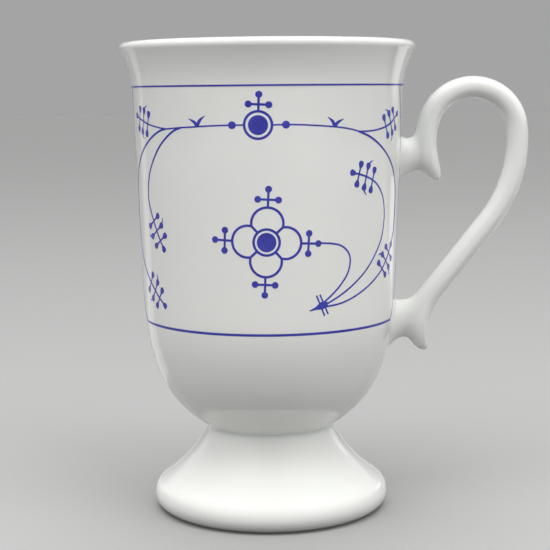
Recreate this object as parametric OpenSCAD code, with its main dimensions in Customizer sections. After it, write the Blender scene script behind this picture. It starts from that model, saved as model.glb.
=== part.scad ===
// Footed porcelain coffee cup: a tall bowl with a flared lip on a hollow foot, with an ear handle.
// Bowl, foot and handle are three castings, stuck together with slip before firing.
// The cup's axis is Z, it stands on Z = 0 and the handle points along +X.

/* [Bowl] */
// Height of the whole cup, from the standing ring to the top of the lip
cup_height = 135; // [128:0.5:145]
// Diameter over the rolled lip
rim_diameter = 84.6; // [76:0.2:93]
// Distance that the lip reaches out past the collar, where the wall starts to flare
flare_reach = 3.6; // [2.6:0.1:5]
// Height of the flare, from the collar to the top of the lip
flare_height = 15; // [11:0.5:20]
// Draw of the wall: how far it leans in from the collar down to the belly, where it starts to round
wall_draw = 2.2; // [1:0.1:4]
// Height of the belly above the table
belly_height = 59.6; // [57:0.2:64]
// Radius of the slack upper part of the belly's round
belly_radius = 60; // [52:1:70]
// Angle below the horizontal at which the belly turns into the tighter bottom round
belly_turn = 20; // [16:0.5:24]
// Radius of the bottom round
bottom_radius = 27; // [25:0.5:29]
// Thickness of the bowl's wall, which also makes the roll of the lip
wall = 3.1; // [2.4:0.1:4]

/* [Foot] */
// Diameter over the widest part of the brim
foot_diameter = 68.8; // [64:0.2:74]
// Diameter of the neck where the foot meets the bowl
neck_diameter = 34.8; // [31:0.2:38]
// Radius of the round under the brim's edge
brim_under_radius = 4; // [3:0.1:5]
// Radius of the round over the brim's edge
brim_top_radius = 5; // [4:0.1:6.5]
// Slope of the foot where the hollow flank meets the brim, measured from the vertical
brim_slope = 56; // [52:0.5:60]
// Thickness of the foot's flank
foot_wall = 4; // [3:0.1:5]
// Width of the flat standing ring
ring_width = 2.6; // [1.8:0.1:3.6]

/* [Handle] */
// Thickness of the limb, seen from the front
limb_thickness = 6.2; // [5:0.1:7.5]
// Width of the limb, seen from the side
limb_width = 8.4; // [6.5:0.1:10]
// Distance from the bowl's wall to the middle of the limb at both stubs
limb_stand = 7.5; // [6:0.1:9]
// Height of the middle of the ear's round top
ear_height = 109; // [104:0.2:114]
// Radius of the ear's round top
ear_radius = 12.9; // [11:0.1:15]
// Angle on the round top, from its right-hand side, at which the upright part takes over
ear_turn = 155; // [150:1:165]
// Radius of the upright part, which ends in the pointed spur
spur_radius = 18.5; // [16:0.5:23]
// Angle of the spur below the place where the limb stands upright
spur_angle = 37.5; // [32:0.5:42]
// Angle on the round top, from its right-hand side, at which the shoulder takes over
shoulder_start = 5; // [0:0.5:12]
// Radius of the long shoulder that leads down from the round top
shoulder_radius = 38; // [33:0.5:42]
// Height of the place where the limb stands upright again, beside the lower stub
heel_height = 51.2; // [49:0.1:54]
// Radius of the bend that brings the limb upright there
heel_radius = 19.6; // [16:0.2:23]
// Radius of the pointed tail below the lower stub
tail_radius = 7.6; // [7:0.1:10]
// Angle of the tail below the place where the limb stands upright
tail_angle = 47; // [38:0.5:52]
// Length over which a point thins out
point_length = 9.5; // [7:0.1:11]

/* [Stubs] */
// Height of the middle of the upper stub
upper_stub_height = 102.9; // [100:0.1:105]
// Height of the upper stub at its waist
upper_stub_waist = 9.2; // [7:0.1:11]
// Spread of the upper stub's lower edge where it meets the bowl
upper_stub_spread = 3.3; // [1:0.1:4]
// Rise of the upper stub's upper edge where it runs into the limb
upper_stub_rise = 4; // [1:0.1:5]
// Height of the middle of the lower stub
lower_stub_height = 54.9; // [53:0.1:57]
// Height of the lower stub at its waist
lower_stub_waist = 10.8; // [8:0.1:12]
// Spread of the lower stub's lower edge where it meets the bowl
lower_stub_spread = 1.9; // [1:0.1:4]
// Rise of the lower stub's upper edge where it runs into the limb
lower_stub_rise = 2; // [0.5:0.1:2.5]
// Spread of both stubs' upper edge where it meets the bowl
upper_edge_spread = 0.8; // [0:0.1:2]
// Width of the stubs at their waist, seen from above
stub_width = 7.2; // [5:0.1:8.4]
// Spread of the stubs to each side where they meet the bowl
side_spread = 1.8; // [0.5:0.1:3]
// Drop of both stubs' lower edge where it runs into the limb
stub_drop = 1.6; // [0.4:0.1:2]

/* [Slip] */
// Thickness of the slip in the joints
slip = 0.4; // [0.2:0.05:0.8]

/* [Hidden] */
$fn = 180;

glaze_white = "#f1f2ee";
slip_white = "#e4e2d9";

// Step of the arcs in the turned profiles, in degrees
arc_step = 3;
// Points round a section of the handle
section_points = 24;
// Distance between the handle's sections
section_step = 2.6;
// Sections on each point of the handle
point_sections = 7;
// Sections along a stub
stub_sections = 9;
// Share of a stub's length over which it spreads towards the bowl
bowl_flare_share = 0.6;
// Depth of a stub's blank inside the wall, before it is trimmed to the bowl
stub_root = wall / 2;

// Bowl: the lines and arcs of its outside, each tangent to the next
lip_radius = wall / 2;
collar = [rim_diameter / 2 - flare_reach, cup_height - flare_height];
belly = [collar.x - wall_draw, belly_height];
taper = atan2(collar.x - belly.x, collar.y - belly.y);
wall_normal = [cos(taper), -sin(taper)];
lip_centre = [rim_diameter / 2 - lip_radius, cup_height - lip_radius];
lip_to_collar = collar - lip_centre;
flare_radius = (lip_to_collar * lip_to_collar - lip_radius ^ 2)
             / (2 * (lip_radius - lip_to_collar * wall_normal));
flare_centre = collar + flare_radius * wall_normal;
flare_end = atan2(lip_centre.y - flare_centre.y, lip_centre.x - flare_centre.x);
belly_centre = belly - belly_radius * wall_normal;
bottom_centre = belly_centre + (belly_radius - bottom_radius) * [cos(belly_turn), -sin(belly_turn)];

// Foot: the brim's rounds and the hollow flank that is tangent to them
foot_radius = foot_diameter / 2;
neck = [neck_diameter / 2, bottom_height(neck_diameter / 2, slip)];
brim_centre = [foot_radius - brim_top_radius, brim_under_radius];
brim_start = brim_centre + brim_top_radius * [cos(brim_slope), sin(brim_slope)];
flank_chord = atan2(brim_start.x - neck.x, neck.y - brim_start.y);
neck_slope = 2 * flank_chord - brim_slope;
flank_radius = norm(neck - brim_start) / (2 * sin(brim_slope - flank_chord));
flank_centre = neck + flank_radius * [cos(neck_slope), sin(neck_slope)];
ring_outside = foot_radius - brim_under_radius;
ring_inside = ring_outside - ring_width;
hollow_radius = flank_radius + foot_wall;
hollow_low = 180 + acos((flank_centre.x - ring_inside) / hollow_radius);

// Seat of the foot on the bottom round, from the hollow's edge to the neck, as angles about the round's centre
seat_radius = bottom_radius + slip;
to_flank = flank_centre - bottom_centre;
seat_inside = atan2(to_flank.y, to_flank.x)
            - acos((to_flank * to_flank + seat_radius ^ 2 - hollow_radius ^ 2) / (2 * norm(to_flank) * seat_radius));
seat_outside = -acos((neck.x - bottom_centre.x) / seat_radius);
hollow_edge = bottom_centre + seat_radius * [cos(seat_inside), sin(seat_inside)];
hollow_high = 180 + asin((flank_centre.y - hollow_edge.y) / hollow_radius);

// Handle: the middle line of the limb as tangent arcs, from the spur's point to the tail's
limb_top_x = bowl_radius(upper_stub_height) + limb_stand;
limb_heel_x = bowl_radius(lower_stub_height) + limb_stand;
ear_centre = [limb_top_x + spur_radius + (spur_radius - ear_radius) * cos(ear_turn), ear_height];
spur_centre = ear_centre + (ear_radius - spur_radius) * [cos(ear_turn), sin(ear_turn)];
shoulder_centre = ear_centre + (ear_radius - shoulder_radius) * [cos(shoulder_start), sin(shoulder_start)];
heel_centre = [limb_heel_x + heel_radius, heel_height];
tail_centre = [limb_heel_x + tail_radius, heel_height];
across = heel_centre - shoulder_centre;
straight_length = sqrt(across * across - (shoulder_radius + heel_radius) ^ 2);
straight_heading = atan2(across.y, across.x) - asin((shoulder_radius + heel_radius) / norm(across));
shoulder_end = straight_heading + 90;
heel_start = straight_heading + 270;
straight_start = shoulder_centre + shoulder_radius * [cos(shoulder_end), sin(shoulder_end)];

// Stretches of the middle line. An arc has its length, centre, radius, first angle and sense, clockwise (1)
// or the other way (-1). The straight has its length, start, no radius, heading and no sense.
limb_line = [
    arc_stretch(spur_centre, spur_radius, 180 + spur_angle, ear_turn),
    arc_stretch(ear_centre, ear_radius, ear_turn, shoulder_start),
    arc_stretch(shoulder_centre, shoulder_radius, shoulder_start, shoulder_end),
    [straight_length, straight_start, 0, straight_heading, 0],
    arc_stretch(heel_centre, heel_radius, heel_start, 180),
    arc_stretch(tail_centre, tail_radius, 180, 180 + tail_angle),
];
limb_length = length_before(len(limb_line));

function arc_stretch(centre, radius, from, to) =
    [abs(to - from) * PI / 180 * radius, centre, radius, from, sign(from - to)];
function length_before(i) = i == 0 ? 0 : length_before(i - 1) + limb_line[i - 1][0];

// Points of an arc with both its ends, or without its first point where the outline is there already
function arc(centre, radius, from, to, first = 0) =
    let (n = max(2, ceil(abs(to - from) / arc_step)))
    [for (i = [first:n]) let (a = from + (to - from) * i / n) centre + radius * [cos(a), sin(a)]];
function arc_on(centre, radius, from, to) = arc(centre, radius, from, to, first = 1);

// Radius of the bowl's outside at a height between the bottom round and the collar
function bowl_radius(z) =
    z >= belly.y ? belly.x + (z - belly.y) * tan(taper)
                 : belly_centre.x + sqrt(belly_radius ^ 2 - (belly_centre.y - z) ^ 2);

// Height of the bottom round at a radius, with the surface moved out by a gap
function bottom_height(r, gap) =
    bottom_centre.y - sqrt((bottom_radius + gap) ^ 2 - max(0, r - bottom_centre.x) ^ 2);

// Underside of the bowl from the axis up to the belly, moved out by a gap
function bowl_underside(gap) = concat(
    [[0, bottom_centre.y - bottom_radius - gap]],
    arc(bottom_centre, bottom_radius + gap, -90, -belly_turn),
    arc_on(belly_centre, belly_radius + gap, -belly_turn, -taper));

// Inside of the bowl from the lip down to the axis
function bowl_inside() = concat(
    arc_on(flare_centre, flare_radius + wall, flare_end, 180 - taper),
    arc(belly_centre, belly_radius - wall, -taper, -belly_turn),
    arc_on(bottom_centre, bottom_radius - wall, -belly_turn, -90),
    [[0, bottom_centre.y - bottom_radius + wall]]);

module bowl() {
    color(glaze_white)
    rotate_extrude()
    polygon(concat(
        bowl_underside(0),
        arc(flare_centre, flare_radius, 180 - taper, flare_end),
        arc_on(lip_centre, lip_radius, flare_end - 180, flare_end),
        bowl_inside()));
}

// All that lies inside the bowl's outer surface, moved out by a gap, up to the collar
module bowl_blank(gap) {
    top = collar + gap * wall_normal;
    rotate_extrude()
    polygon(concat(bowl_underside(gap), [top, [0, top.y]]));
}

module foot() {
    color(glaze_white)
    rotate_extrude()
    polygon(concat(
        arc_on(bottom_centre, seat_radius, seat_inside, seat_outside),
        arc_on(flank_centre, flank_radius, 180 + neck_slope, 180 + brim_slope),
        arc_on(brim_centre, brim_top_radius, brim_slope, 0),
        arc_on([ring_outside, brim_under_radius], brim_under_radius, 0, -90),
        [[ring_inside, 0]],
        arc(flank_centre, hollow_radius, hollow_low, hollow_high)));
}

module foot_slip_seam() {
    color(slip_white)
    rotate_extrude()
    polygon(concat(
        arc(bottom_centre, bottom_radius, seat_inside, seat_outside),
        arc(bottom_centre, seat_radius, seat_outside, seat_inside)));
}

// Skin over a row of closed rings with the same number of points, with flat ends
module loft(rings) {
    n = len(rings[0]);
    last = len(rings) - 1;
    points = [for (ring = rings) each ring];
    sides = [for (i = [0:last - 1]) for (k = [0:n - 1])
        let (a = i * n + k, b = i * n + (k + 1) % n)
        each [[a, b, b + n], [a, b + n, a + n]]];
    first_end = [for (k = [1:n - 2]) [0, k + 1, k]];
    last_end = [for (k = [1:n - 2]) [last * n, last * n + k, last * n + k + 1]];
    polyhedron(points, concat(sides, first_end, last_end), convexity = 6);
}

// Place on the limb's middle line and the heading there, at a length from the spur's point
function limb_place(s, i = 0) =
    let (part = limb_line[i])
    i < len(limb_line) - 1 && s > part[0] ? limb_place(s - part[0], i + 1) :
    part[4] == 0 ? [part[1] + s * [cos(part[3]), sin(part[3])], part[3]] :
    let (a = part[3] - part[4] * s / part[2] * 180 / PI)
    [part[1] + part[2] * [cos(a), sin(a)], a - part[4] * 90];

// Share of the full section at a length from the spur's point: an ellipse at both points
function limb_share(s) =
    let (q = min(1, min(s, limb_length - s) / point_length))
    sqrt(max(0, 1 - (1 - q) ^ 2));

// Section of the limb, square to its middle line
function limb_ring(s) =
    let (place = limb_place(s), h = place[1], f = limb_share(s))
    [for (k = [0:section_points - 1])
        let (a = 360 * k / section_points,
             u = limb_thickness / 2 * f * cos(a),
             p = place[0] + u * [-sin(h), cos(h)])
        [p.x, limb_width / 2 * f * sin(a), p.y]];

module limb() {
    point = [for (i = [1:point_sections]) point_length * (1 - cos(90 * i / point_sections))];
    body_length = limb_length - 2 * point_length;
    body_steps = ceil(body_length / section_step);
    body = [for (i = [1:body_steps - 1]) point_length + body_length * i / body_steps];
    tail = [for (i = [point_sections - 1:-1:0]) limb_length - point[i]];
    loft([for (s = concat(point, body, tail)) limb_ring(s)]);
}

// Blank of a stub: a waisted bridge from inside the bowl's wall to the middle of the limb
module stub(height, waist, lower_spread, rise, limb_x) {
    wall_x = bowl_radius(height);
    reach = limb_x - wall_x;
    loft([for (i = [0:stub_sections])
        let (x = wall_x - stub_root + (reach + stub_root) * i / stub_sections,
             q = max(0, x - wall_x) / reach,
             near_bowl = max(0, 1 - q / bowl_flare_share) ^ 2,
             near_limb = q ^ 4,
             up = waist / 2 + upper_edge_spread * near_bowl + rise * near_limb,
             down = waist / 2 + lower_spread * near_bowl + stub_drop * near_limb,
             side = stub_width / 2 + side_spread * near_bowl)
        [for (k = [0:section_points - 1])
            let (a = 360 * k / section_points)
            [x, side * sin(a), height + (cos(a) > 0 ? up : down) * cos(a)]]]);
}

module upper_stub() {
    stub(upper_stub_height, upper_stub_waist, upper_stub_spread, upper_stub_rise, limb_top_x);
}

module lower_stub() {
    stub(lower_stub_height, lower_stub_waist, lower_stub_spread, lower_stub_rise, limb_heel_x);
}

module handle() {
    color(glaze_white)
    difference() {
        union() {
            limb();
            upper_stub();
            lower_stub();
        }
        bowl_blank(slip);
    }
}

// Slip between a stub's root and the bowl
module stub_slip() {
    color(slip_white)
    difference() {
        intersection() {
            children();
            bowl_blank(slip);
        }
        bowl_blank(0);
    }
}

module upper_handle_slip_seam() {
    stub_slip() upper_stub();
}

module lower_handle_slip_seam() {
    stub_slip() lower_stub();
}

bowl();
foot();
handle();
foot_slip_seam();
upper_handle_slip_seam();
lower_handle_slip_seam();
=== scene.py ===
"""Footed porcelain coffee cup with a blue straw-flower print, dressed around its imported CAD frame.

Sizes are in millimetres, as in the part's source, and become metres where a mesh is made. The cup's axis
is Z, the handle points along +X and the print faces -Y.
"""

from __future__ import annotations

import logging
import math
from dataclasses import dataclass, field
from enum import Enum
from typing import Callable, Sequence

import bpy
import bmesh
import numpy as np
from bpy.types import Material, Mesh, Node, NodeSocket, NodeTree, Object
from mathutils import Euler, Matrix, Vector


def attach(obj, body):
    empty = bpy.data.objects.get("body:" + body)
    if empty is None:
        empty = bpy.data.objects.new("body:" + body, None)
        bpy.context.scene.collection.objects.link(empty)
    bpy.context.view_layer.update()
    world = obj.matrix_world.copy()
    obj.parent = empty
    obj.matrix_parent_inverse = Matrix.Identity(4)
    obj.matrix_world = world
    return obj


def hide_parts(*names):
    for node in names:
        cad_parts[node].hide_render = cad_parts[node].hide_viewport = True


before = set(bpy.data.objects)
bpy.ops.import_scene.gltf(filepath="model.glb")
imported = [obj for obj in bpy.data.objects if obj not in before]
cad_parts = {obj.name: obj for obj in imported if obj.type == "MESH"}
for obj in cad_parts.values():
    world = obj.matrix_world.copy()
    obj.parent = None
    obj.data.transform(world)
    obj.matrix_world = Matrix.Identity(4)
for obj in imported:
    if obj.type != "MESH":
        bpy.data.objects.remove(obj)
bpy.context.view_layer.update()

LOG = logging.getLogger("footed_cup")
MM = 0.001
BODY = "root"
# Attribute with the share of pooled glaze at creases, whose darker tone is partly painted shade.
POOLING_AND_SHADE = "glaze_pool"
TINY = 1e-6

Point = tuple[float, float]
Place = tuple[float, float, float]
Colour = tuple[float, float, float, float]
Sockets = dict[int | str, object]


class Slot(Enum):
    """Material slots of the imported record."""

    GLAZE = "porcelain_glaze"
    SLIP = "porcelain_slip"
    PRINT = "cobalt_print"
    BARE = "bare_porcelain"


class Pen(Enum):
    """Half widths of the printed lines, in millimetres."""

    BAND = 0.24
    FRAME = 0.36
    RAIL = 0.225
    STEM = 0.25
    SCROLL = 0.30
    FINE = 0.26
    OUTLINE = 0.35
    CROSS = 0.32


class Stamp(Enum):
    """Filled shapes of the print."""

    BALL = 1
    BERRY = 2
    DISC = 3


class Shine(Enum):
    """What a lamp does: it lights surfaces softly, or it is only mirrored in the glaze."""

    SOFT = "soft"
    MIRRORED = "mirrored"


# Helpers for nodes and meshes


class NodeBench:
    """Adds nodes to one tree, with their settings and links in a single call."""

    def __init__(self, tree: NodeTree) -> None:
        """Takes the tree that the nodes go to."""
        self.tree = tree

    def add(self, kind: str, sockets: Sockets | None = None, **settings: object) -> Node:
        """Adds a node.

        Args:
            kind: Blender's name of the node's type.
            sockets: Inputs by name or number, each a socket to link from or a plain value.
            settings: Properties of the node.

        Returns:
            The new node.
        """
        node = self.tree.nodes.new(kind)
        for name, value in settings.items():
            setattr(node, name, value)
        for key, value in (sockets or {}).items():
            if isinstance(value, NodeSocket):
                self.tree.links.new(value, node.inputs[key])
            else:
                node.inputs[key].default_value = value
        return node

    def out(self, kind: str, sockets: Sockets | None = None, **settings: object) -> NodeSocket:
        """Adds a node and returns its first output."""
        return self.add(kind, sockets, **settings).outputs[0]

    def feed(self, value: NodeSocket, node: Node, socket: str) -> None:
        """Links a value to a node's input."""
        self.tree.links.new(value, node.inputs[socket])

    def math(self, operation: str, first: object, second: object = 0.0) -> NodeSocket:
        """Adds a Math node and returns its result."""
        return self.out("ShaderNodeMath", {0: first, 1: second}, operation=operation)

    def vector_sum(self, first: object, second: object) -> NodeSocket:
        """Adds a Vector Math node that adds two vectors and returns their sum."""
        return self.out("ShaderNodeVectorMath", {0: first, 1: second}, operation="ADD")

    def scaled(self, vector: object, factor: object) -> NodeSocket:
        """Adds a Vector Math node that scales a vector and returns the result."""
        return self.out("ShaderNodeVectorMath", {0: vector, "Scale": factor}, operation="SCALE")

    def eased(self, value: object, start: object, end: object, low: object, high: object) -> NodeSocket:
        """Adds a Map Range node that eases from low at the start to high at the end."""
        sockets = {"Value": value, "From Min": start, "From Max": end, "To Min": low, "To Max": high}
        return self.out("ShaderNodeMapRange", sockets, interpolation_type="SMOOTHSTEP")

    def mix_colour(self, share: object, first: object, second: object) -> NodeSocket:
        """Adds a Mix node for colours and returns its result."""
        return self.add("ShaderNodeMix", {0: share, 6: first, 7: second}, data_type="RGBA").outputs[2]

    def named(self, name: str, kind: str = "FLOAT") -> NodeSocket:
        """Adds a Named Attribute node and returns its value."""
        return self.out("GeometryNodeInputNamedAttribute", {"Name": name}, data_type=kind)

    def place(self) -> tuple[NodeSocket, NodeSocket, NodeSocket]:
        """Adds nodes for the place of a point and returns its three coordinates."""
        position = self.out("GeometryNodeInputPosition")
        return tuple(self.add("ShaderNodeSeparateXYZ", {0: position}).outputs)


def new_tree(
    name: str, kind: str, inputs: dict[str, str], outputs: dict[str, str]
) -> tuple[NodeBench, Node, Node]:
    """Makes a node group with named sockets.

    Args:
        name: Name of the group.
        kind: GeometryNodeTree or ShaderNodeTree.
        inputs: Socket types of the inputs by name.
        outputs: Socket types of the outputs by name.

    Returns:
        A bench for the group, its input node and its output node.
    """
    tree = bpy.data.node_groups.new(name, kind)
    for way, sockets in (("INPUT", inputs), ("OUTPUT", outputs)):
        for socket, socket_type in sockets.items():
            tree.interface.new_socket(socket, in_out=way, socket_type=socket_type)
    bench = NodeBench(tree)
    return bench, bench.add("NodeGroupInput"), bench.add("NodeGroupOutput")


def finished(bench: NodeBench, form: NodeSocket, sharp_angle: object, finish: NodeSocket) -> NodeSocket:
    """Adds the last nodes of a Geometry Nodes tree: they smooth its form, realize it and set its material.

    Args:
        bench: Bench of the tree.
        form: Geometry to finish.
        sharp_angle: Angle in radians above which an edge stays crisp.
        finish: Material of the form.

    Returns:
        The finished geometry.
    """
    form = bench.out("GeometryNodeSetShadeSmooth", {0: form}, domain="FACE")
    bend = bench.add("GeometryNodeInputMeshEdgeAngle").outputs["Unsigned Angle"]
    sharp = bench.math("GREATER_THAN", bend, sharp_angle)
    crisp = {0: form, "Selection": sharp, "Shade Smooth": False}
    form = bench.out("GeometryNodeSetShadeSmooth", crisp, domain="EDGE")
    form = bench.out("GeometryNodeRealizeInstances", {0: form})
    return bench.out("GeometryNodeSetMaterial", {0: form, "Material": finish})


def link_piece(name: str, mesh: Mesh) -> Object:
    """Puts a mesh into the scene as an object at the origin and returns the object."""
    piece = bpy.data.objects.new(name, mesh)
    bpy.context.scene.collection.objects.link(piece)
    return piece


def mesh_from(name: str, points: np.ndarray, faces: Sequence[Sequence[int]]) -> Mesh:
    """Makes a smooth mesh from points in millimetres.

    Args:
        name: Name of the mesh.
        points: Points as rows of x, y and z.
        faces: Corners of each face, anticlockwise from outside.

    Returns:
        The mesh, in metres.
    """
    mesh = bpy.data.meshes.new(name)
    mesh.from_pydata((np.asarray(points) * MM).tolist(), [], [list(face) for face in faces])
    mesh.shade_smooth()
    mesh.update()
    return mesh


def store_pooling_and_shade(mesh: Mesh, shares: Sequence[float]) -> None:
    """Stores the share of pooled glaze and painted crease shade at each point of a mesh."""
    mesh.attributes.new(POOLING_AND_SHADE, "FLOAT", "POINT").data.foreach_set("value", shares)


def evaluated(source: Object, name: str) -> Mesh:
    """Returns the mesh that an object's modifiers make, under a new name, and removes the object."""
    graph = bpy.context.evaluated_depsgraph_get()
    mesh = bpy.data.meshes.new_from_object(source.evaluated_get(graph), depsgraph=graph)
    mesh.name = name
    bpy.data.objects.remove(source)
    return mesh


def baked(source: Object, name: str, tree: NodeTree, values: dict[str, object]) -> Object:
    """Runs a Geometry Nodes tree on a source and keeps the result as a plain mesh.

    Args:
        source: Object that holds the tree's starting geometry; it is removed.
        name: Name of the finished piece.
        tree: Tree to run.
        values: Values of the tree's named inputs.

    Returns:
        The finished piece, with no modifier.
    """
    modifier = source.modifiers.new("form", "NODES")
    modifier.node_group = tree
    for item in tree.interface.items_tree:
        if item.in_out == "INPUT" and item.name in values:
            modifier[item.identifier] = values[item.name]
    return link_piece(name, evaluated(source, name))


def hand_over(piece: Object, slot: Slot, *nodes: str) -> None:
    """Sets a finished piece on the cup's body.

    Args:
        piece: The finished piece.
        slot: Not used.
        nodes: CAD nodes that it stands for.
    """
    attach(piece, BODY)
    if nodes:
        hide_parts(*nodes)
    solids = ", ".join(nodes) or "no solid"
    LOG.info("%s: %d faces, stands for %s", piece.name, len(piece.data.polygons), solids)


# Outlines of the turned forms


def toward(angle: float) -> np.ndarray:
    """Returns a step of length 1 in the direction of an angle in degrees."""
    turn = math.radians(angle)
    return np.array([math.cos(turn), math.sin(turn)])


def arc(centre: Point, radius: float, start: float, end: float, step: float = 0.8) -> list[Point]:
    """Lays points on an arc, with both its ends.

    Args:
        centre: Centre of the arc.
        radius: Radius of the arc.
        start: First angle, in degrees.
        end: Last angle, in degrees.
        step: Longest distance between two points.

    Returns:
        The points in order.
    """
    count = max(3, math.ceil(abs(math.radians(end - start)) * radius / step))
    angles = np.radians(np.linspace(start, end, count + 1))
    return [(centre[0] + radius * math.cos(a), centre[1] + radius * math.sin(a)) for a in angles]


def straight(start: Point, end: Point, step: float = 3.0) -> list[Point]:
    """Lays points on a straight line, with both its ends, not further apart than a step."""
    count = max(1, math.ceil(math.dist(start, end) / step))
    return [tuple(p) for p in np.linspace(start, end, count + 1)]


def outline(*runs: Sequence[Point]) -> list[Point]:
    """Joins runs of points into one outline, without the points that repeat the one before."""
    points: list[Point] = []
    for run in runs:
        for point in run:
            if not points or math.dist(points[-1], point) > TINY:
                points.append(point)
    return points


def bent(share: float, start: np.ndarray, corner: np.ndarray, end: np.ndarray) -> np.ndarray:
    """Returns the place at a share of a curve that leaves start towards corner and comes from it to end."""
    rest = 1 - share
    return rest**2 * start + 2 * share * rest * corner + share**2 * end


class TurnedForm:
    """Geometry Nodes tree that turns a profile round the Z axis into a closed form."""

    def __init__(self, facets: int = 256) -> None:
        """Builds the tree.

        Args:
            facets: Number of facets round a form.
        """
        self.facets = facets
        self.tree = self._tree()

    @staticmethod
    def _tree() -> NodeTree:
        """Makes the tree: a grid is rolled up so that each of its rows follows one point of the profile."""
        inputs = {
            "Profile": "NodeSocketGeometry",
            "Facets": "NodeSocketInt",
            "Finish": "NodeSocketMaterial",
            "Sharp Angle": "NodeSocketFloat",
        }
        outputs = {"Form": "NodeSocketGeometry"}
        bench, given, result = new_tree("Turned form", "GeometryNodeTree", inputs, outputs)
        profile, facets = given.outputs["Profile"], given.outputs["Facets"]
        size = bench.add("GeometryNodeAttributeDomainSize", {0: profile}, component="MESH")
        count = size.outputs["Point Count"]
        columns = bench.math("ADD", facets, 1.0)
        grid = bench.add("GeometryNodeMeshGrid", {"Vertices X": columns, "Vertices Y": count}).outputs["Mesh"]
        index = bench.out("GeometryNodeInputIndex")
        row = bench.math("FLOORED_MODULO", index, count)
        column = bench.math("FLOOR", bench.math("DIVIDE", bench.math("ADD", index, 0.5), count))
        turn = bench.math("DIVIDE", bench.math("MULTIPLY", column, math.tau), facets)
        at_row = {0: profile, "Value": bench.out("GeometryNodeInputPosition"), "Index": row}
        on_profile = bench.out("GeometryNodeSampleIndex", at_row, data_type="FLOAT_VECTOR")
        roll = {"Vector": on_profile, "Angle": turn}
        rolled = bench.out("ShaderNodeVectorRotate", roll, rotation_type="Z_AXIS")
        form = bench.out("GeometryNodeSetPosition", {0: grid, "Position": rolled})
        # Carries the share of pooled glaze and painted crease shade from the profile to the form.
        pooling_and_shade_at_row = {0: profile, "Value": bench.named(POOLING_AND_SHADE), "Index": row}
        pooling_and_shade = bench.out("GeometryNodeSampleIndex", pooling_and_shade_at_row, data_type="FLOAT")
        kept = {0: form, "Name": POOLING_AND_SHADE, "Value": pooling_and_shade}
        form = bench.out("GeometryNodeStoreNamedAttribute", kept, data_type="FLOAT", domain="POINT")
        form = bench.out("GeometryNodeMergeByDistance", {0: form, "Distance": 2e-7})
        form = finished(bench, form, given.outputs["Sharp Angle"], given.outputs["Finish"])
        bench.feed(form, result, "Form")
        return bench.tree

    def turn(
        self,
        name: str,
        profile: Sequence[Point],
        finish: Material,
        pooling_and_shade: Callable[[float, float], float] | None = None,
        sharp_angle: float = 35.0,
    ) -> Object:
        """Turns one profile.

        Args:
            name: Name of the piece.
            profile: Radius and height of each point, anticlockwise round the material. It starts and ends
                on the axis, or ends where it starts.
            finish: Material of the piece.
            pooling_and_shade: Share of pooled glaze and painted crease shade at a radius and height.
            sharp_angle: Angle in degrees above which an edge stays crisp.

        Returns:
            The turned piece.
        """
        points = np.array([(r, 0.0, z) for r, z in profile])
        mesh = bpy.data.meshes.new(name)
        mesh.from_pydata((points * MM).tolist(), [(i, i + 1) for i in range(len(points) - 1)], [])
        store_pooling_and_shade(mesh, [pooling_and_shade(r, z) if pooling_and_shade else 0.0 for r, z in profile])
        values = {"Facets": self.facets, "Finish": finish, "Sharp Angle": math.radians(sharp_angle)}
        return baked(link_piece(name + "_profile", mesh), name, self.tree, values)


# Finishes


class GlazeEffects:
    """Shader node groups that the finishes share, each built once."""

    def __init__(self) -> None:
        """Builds the groups."""
        self.ripple = self._ripple()
        self.drift = self._drift()
        self.specks = self._specks()

    @staticmethod
    def _object_place(bench: NodeBench) -> NodeSocket:
        """Adds a Texture Coordinate node and returns its object coordinates."""
        return bench.add("ShaderNodeTexCoord").outputs["Object"]

    def _ripple(self) -> NodeTree:
        """Makes the height of a relief: slow waves and a fine peel, both per metre."""
        inputs = dict.fromkeys(("Wave Scale", "Peel Scale", "Peel Share"), "NodeSocketFloat")
        outputs = {"Height": "NodeSocketFloat"}
        bench, given, result = new_tree("Glaze ripple", "ShaderNodeTree", inputs, outputs)
        place = self._object_place(bench)
        wave = {"Vector": place, "Scale": given.outputs["Wave Scale"], "Detail": 1.0, "Roughness": 0.4}
        peel = {"Vector": place, "Scale": given.outputs["Peel Scale"], "Detail": 2.0, "Roughness": 0.5}
        waves = bench.out("ShaderNodeTexNoise", wave)
        peels = bench.math("MULTIPLY", bench.out("ShaderNodeTexNoise", peel), given.outputs["Peel Share"])
        bench.feed(bench.math("ADD", waves, peels), result, "Height")
        return bench.tree

    def _drift(self) -> NodeTree:
        """Makes a slow drift between two tones."""
        inputs = {"Light Tone": "NodeSocketColor", "Deep Tone": "NodeSocketColor", "Scale": "NodeSocketFloat"}
        outputs = {"Tone": "NodeSocketColor"}
        bench, given, result = new_tree("Tone drift", "ShaderNodeTree", inputs, outputs)
        cloud = {"Vector": self._object_place(bench), "Scale": given.outputs["Scale"], "Detail": 3.0}
        share = bench.eased(bench.out("ShaderNodeTexNoise", cloud), 0.3, 0.7, 0.0, 1.0)
        tone = bench.mix_colour(share, given.outputs["Light Tone"], given.outputs["Deep Tone"])
        bench.feed(tone, result, "Tone")
        return bench.tree

    def _specks(self) -> NodeTree:
        """Makes a mask of the few tiny specks that firing leaves."""
        inputs = dict.fromkeys(("Cells", "Size", "Share"), "NodeSocketFloat")
        outputs = {"Mask": "NodeSocketFloat"}
        bench, given, result = new_tree("Fire specks", "ShaderNodeTree", inputs, outputs)
        cells = {"Vector": self._object_place(bench), "Scale": given.outputs["Cells"]}
        voronoi = bench.add("ShaderNodeTexVoronoi", cells)
        dot = bench.eased(voronoi.outputs["Distance"], 0.0, given.outputs["Size"], 1.0, 0.0)
        chance = bench.out("ShaderNodeSeparateColor", {0: voronoi.outputs["Color"]})
        chosen = bench.math("LESS_THAN", chance, given.outputs["Share"])
        bench.feed(bench.math("MULTIPLY", dot, chosen), result, "Mask")
        return bench.tree


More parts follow.
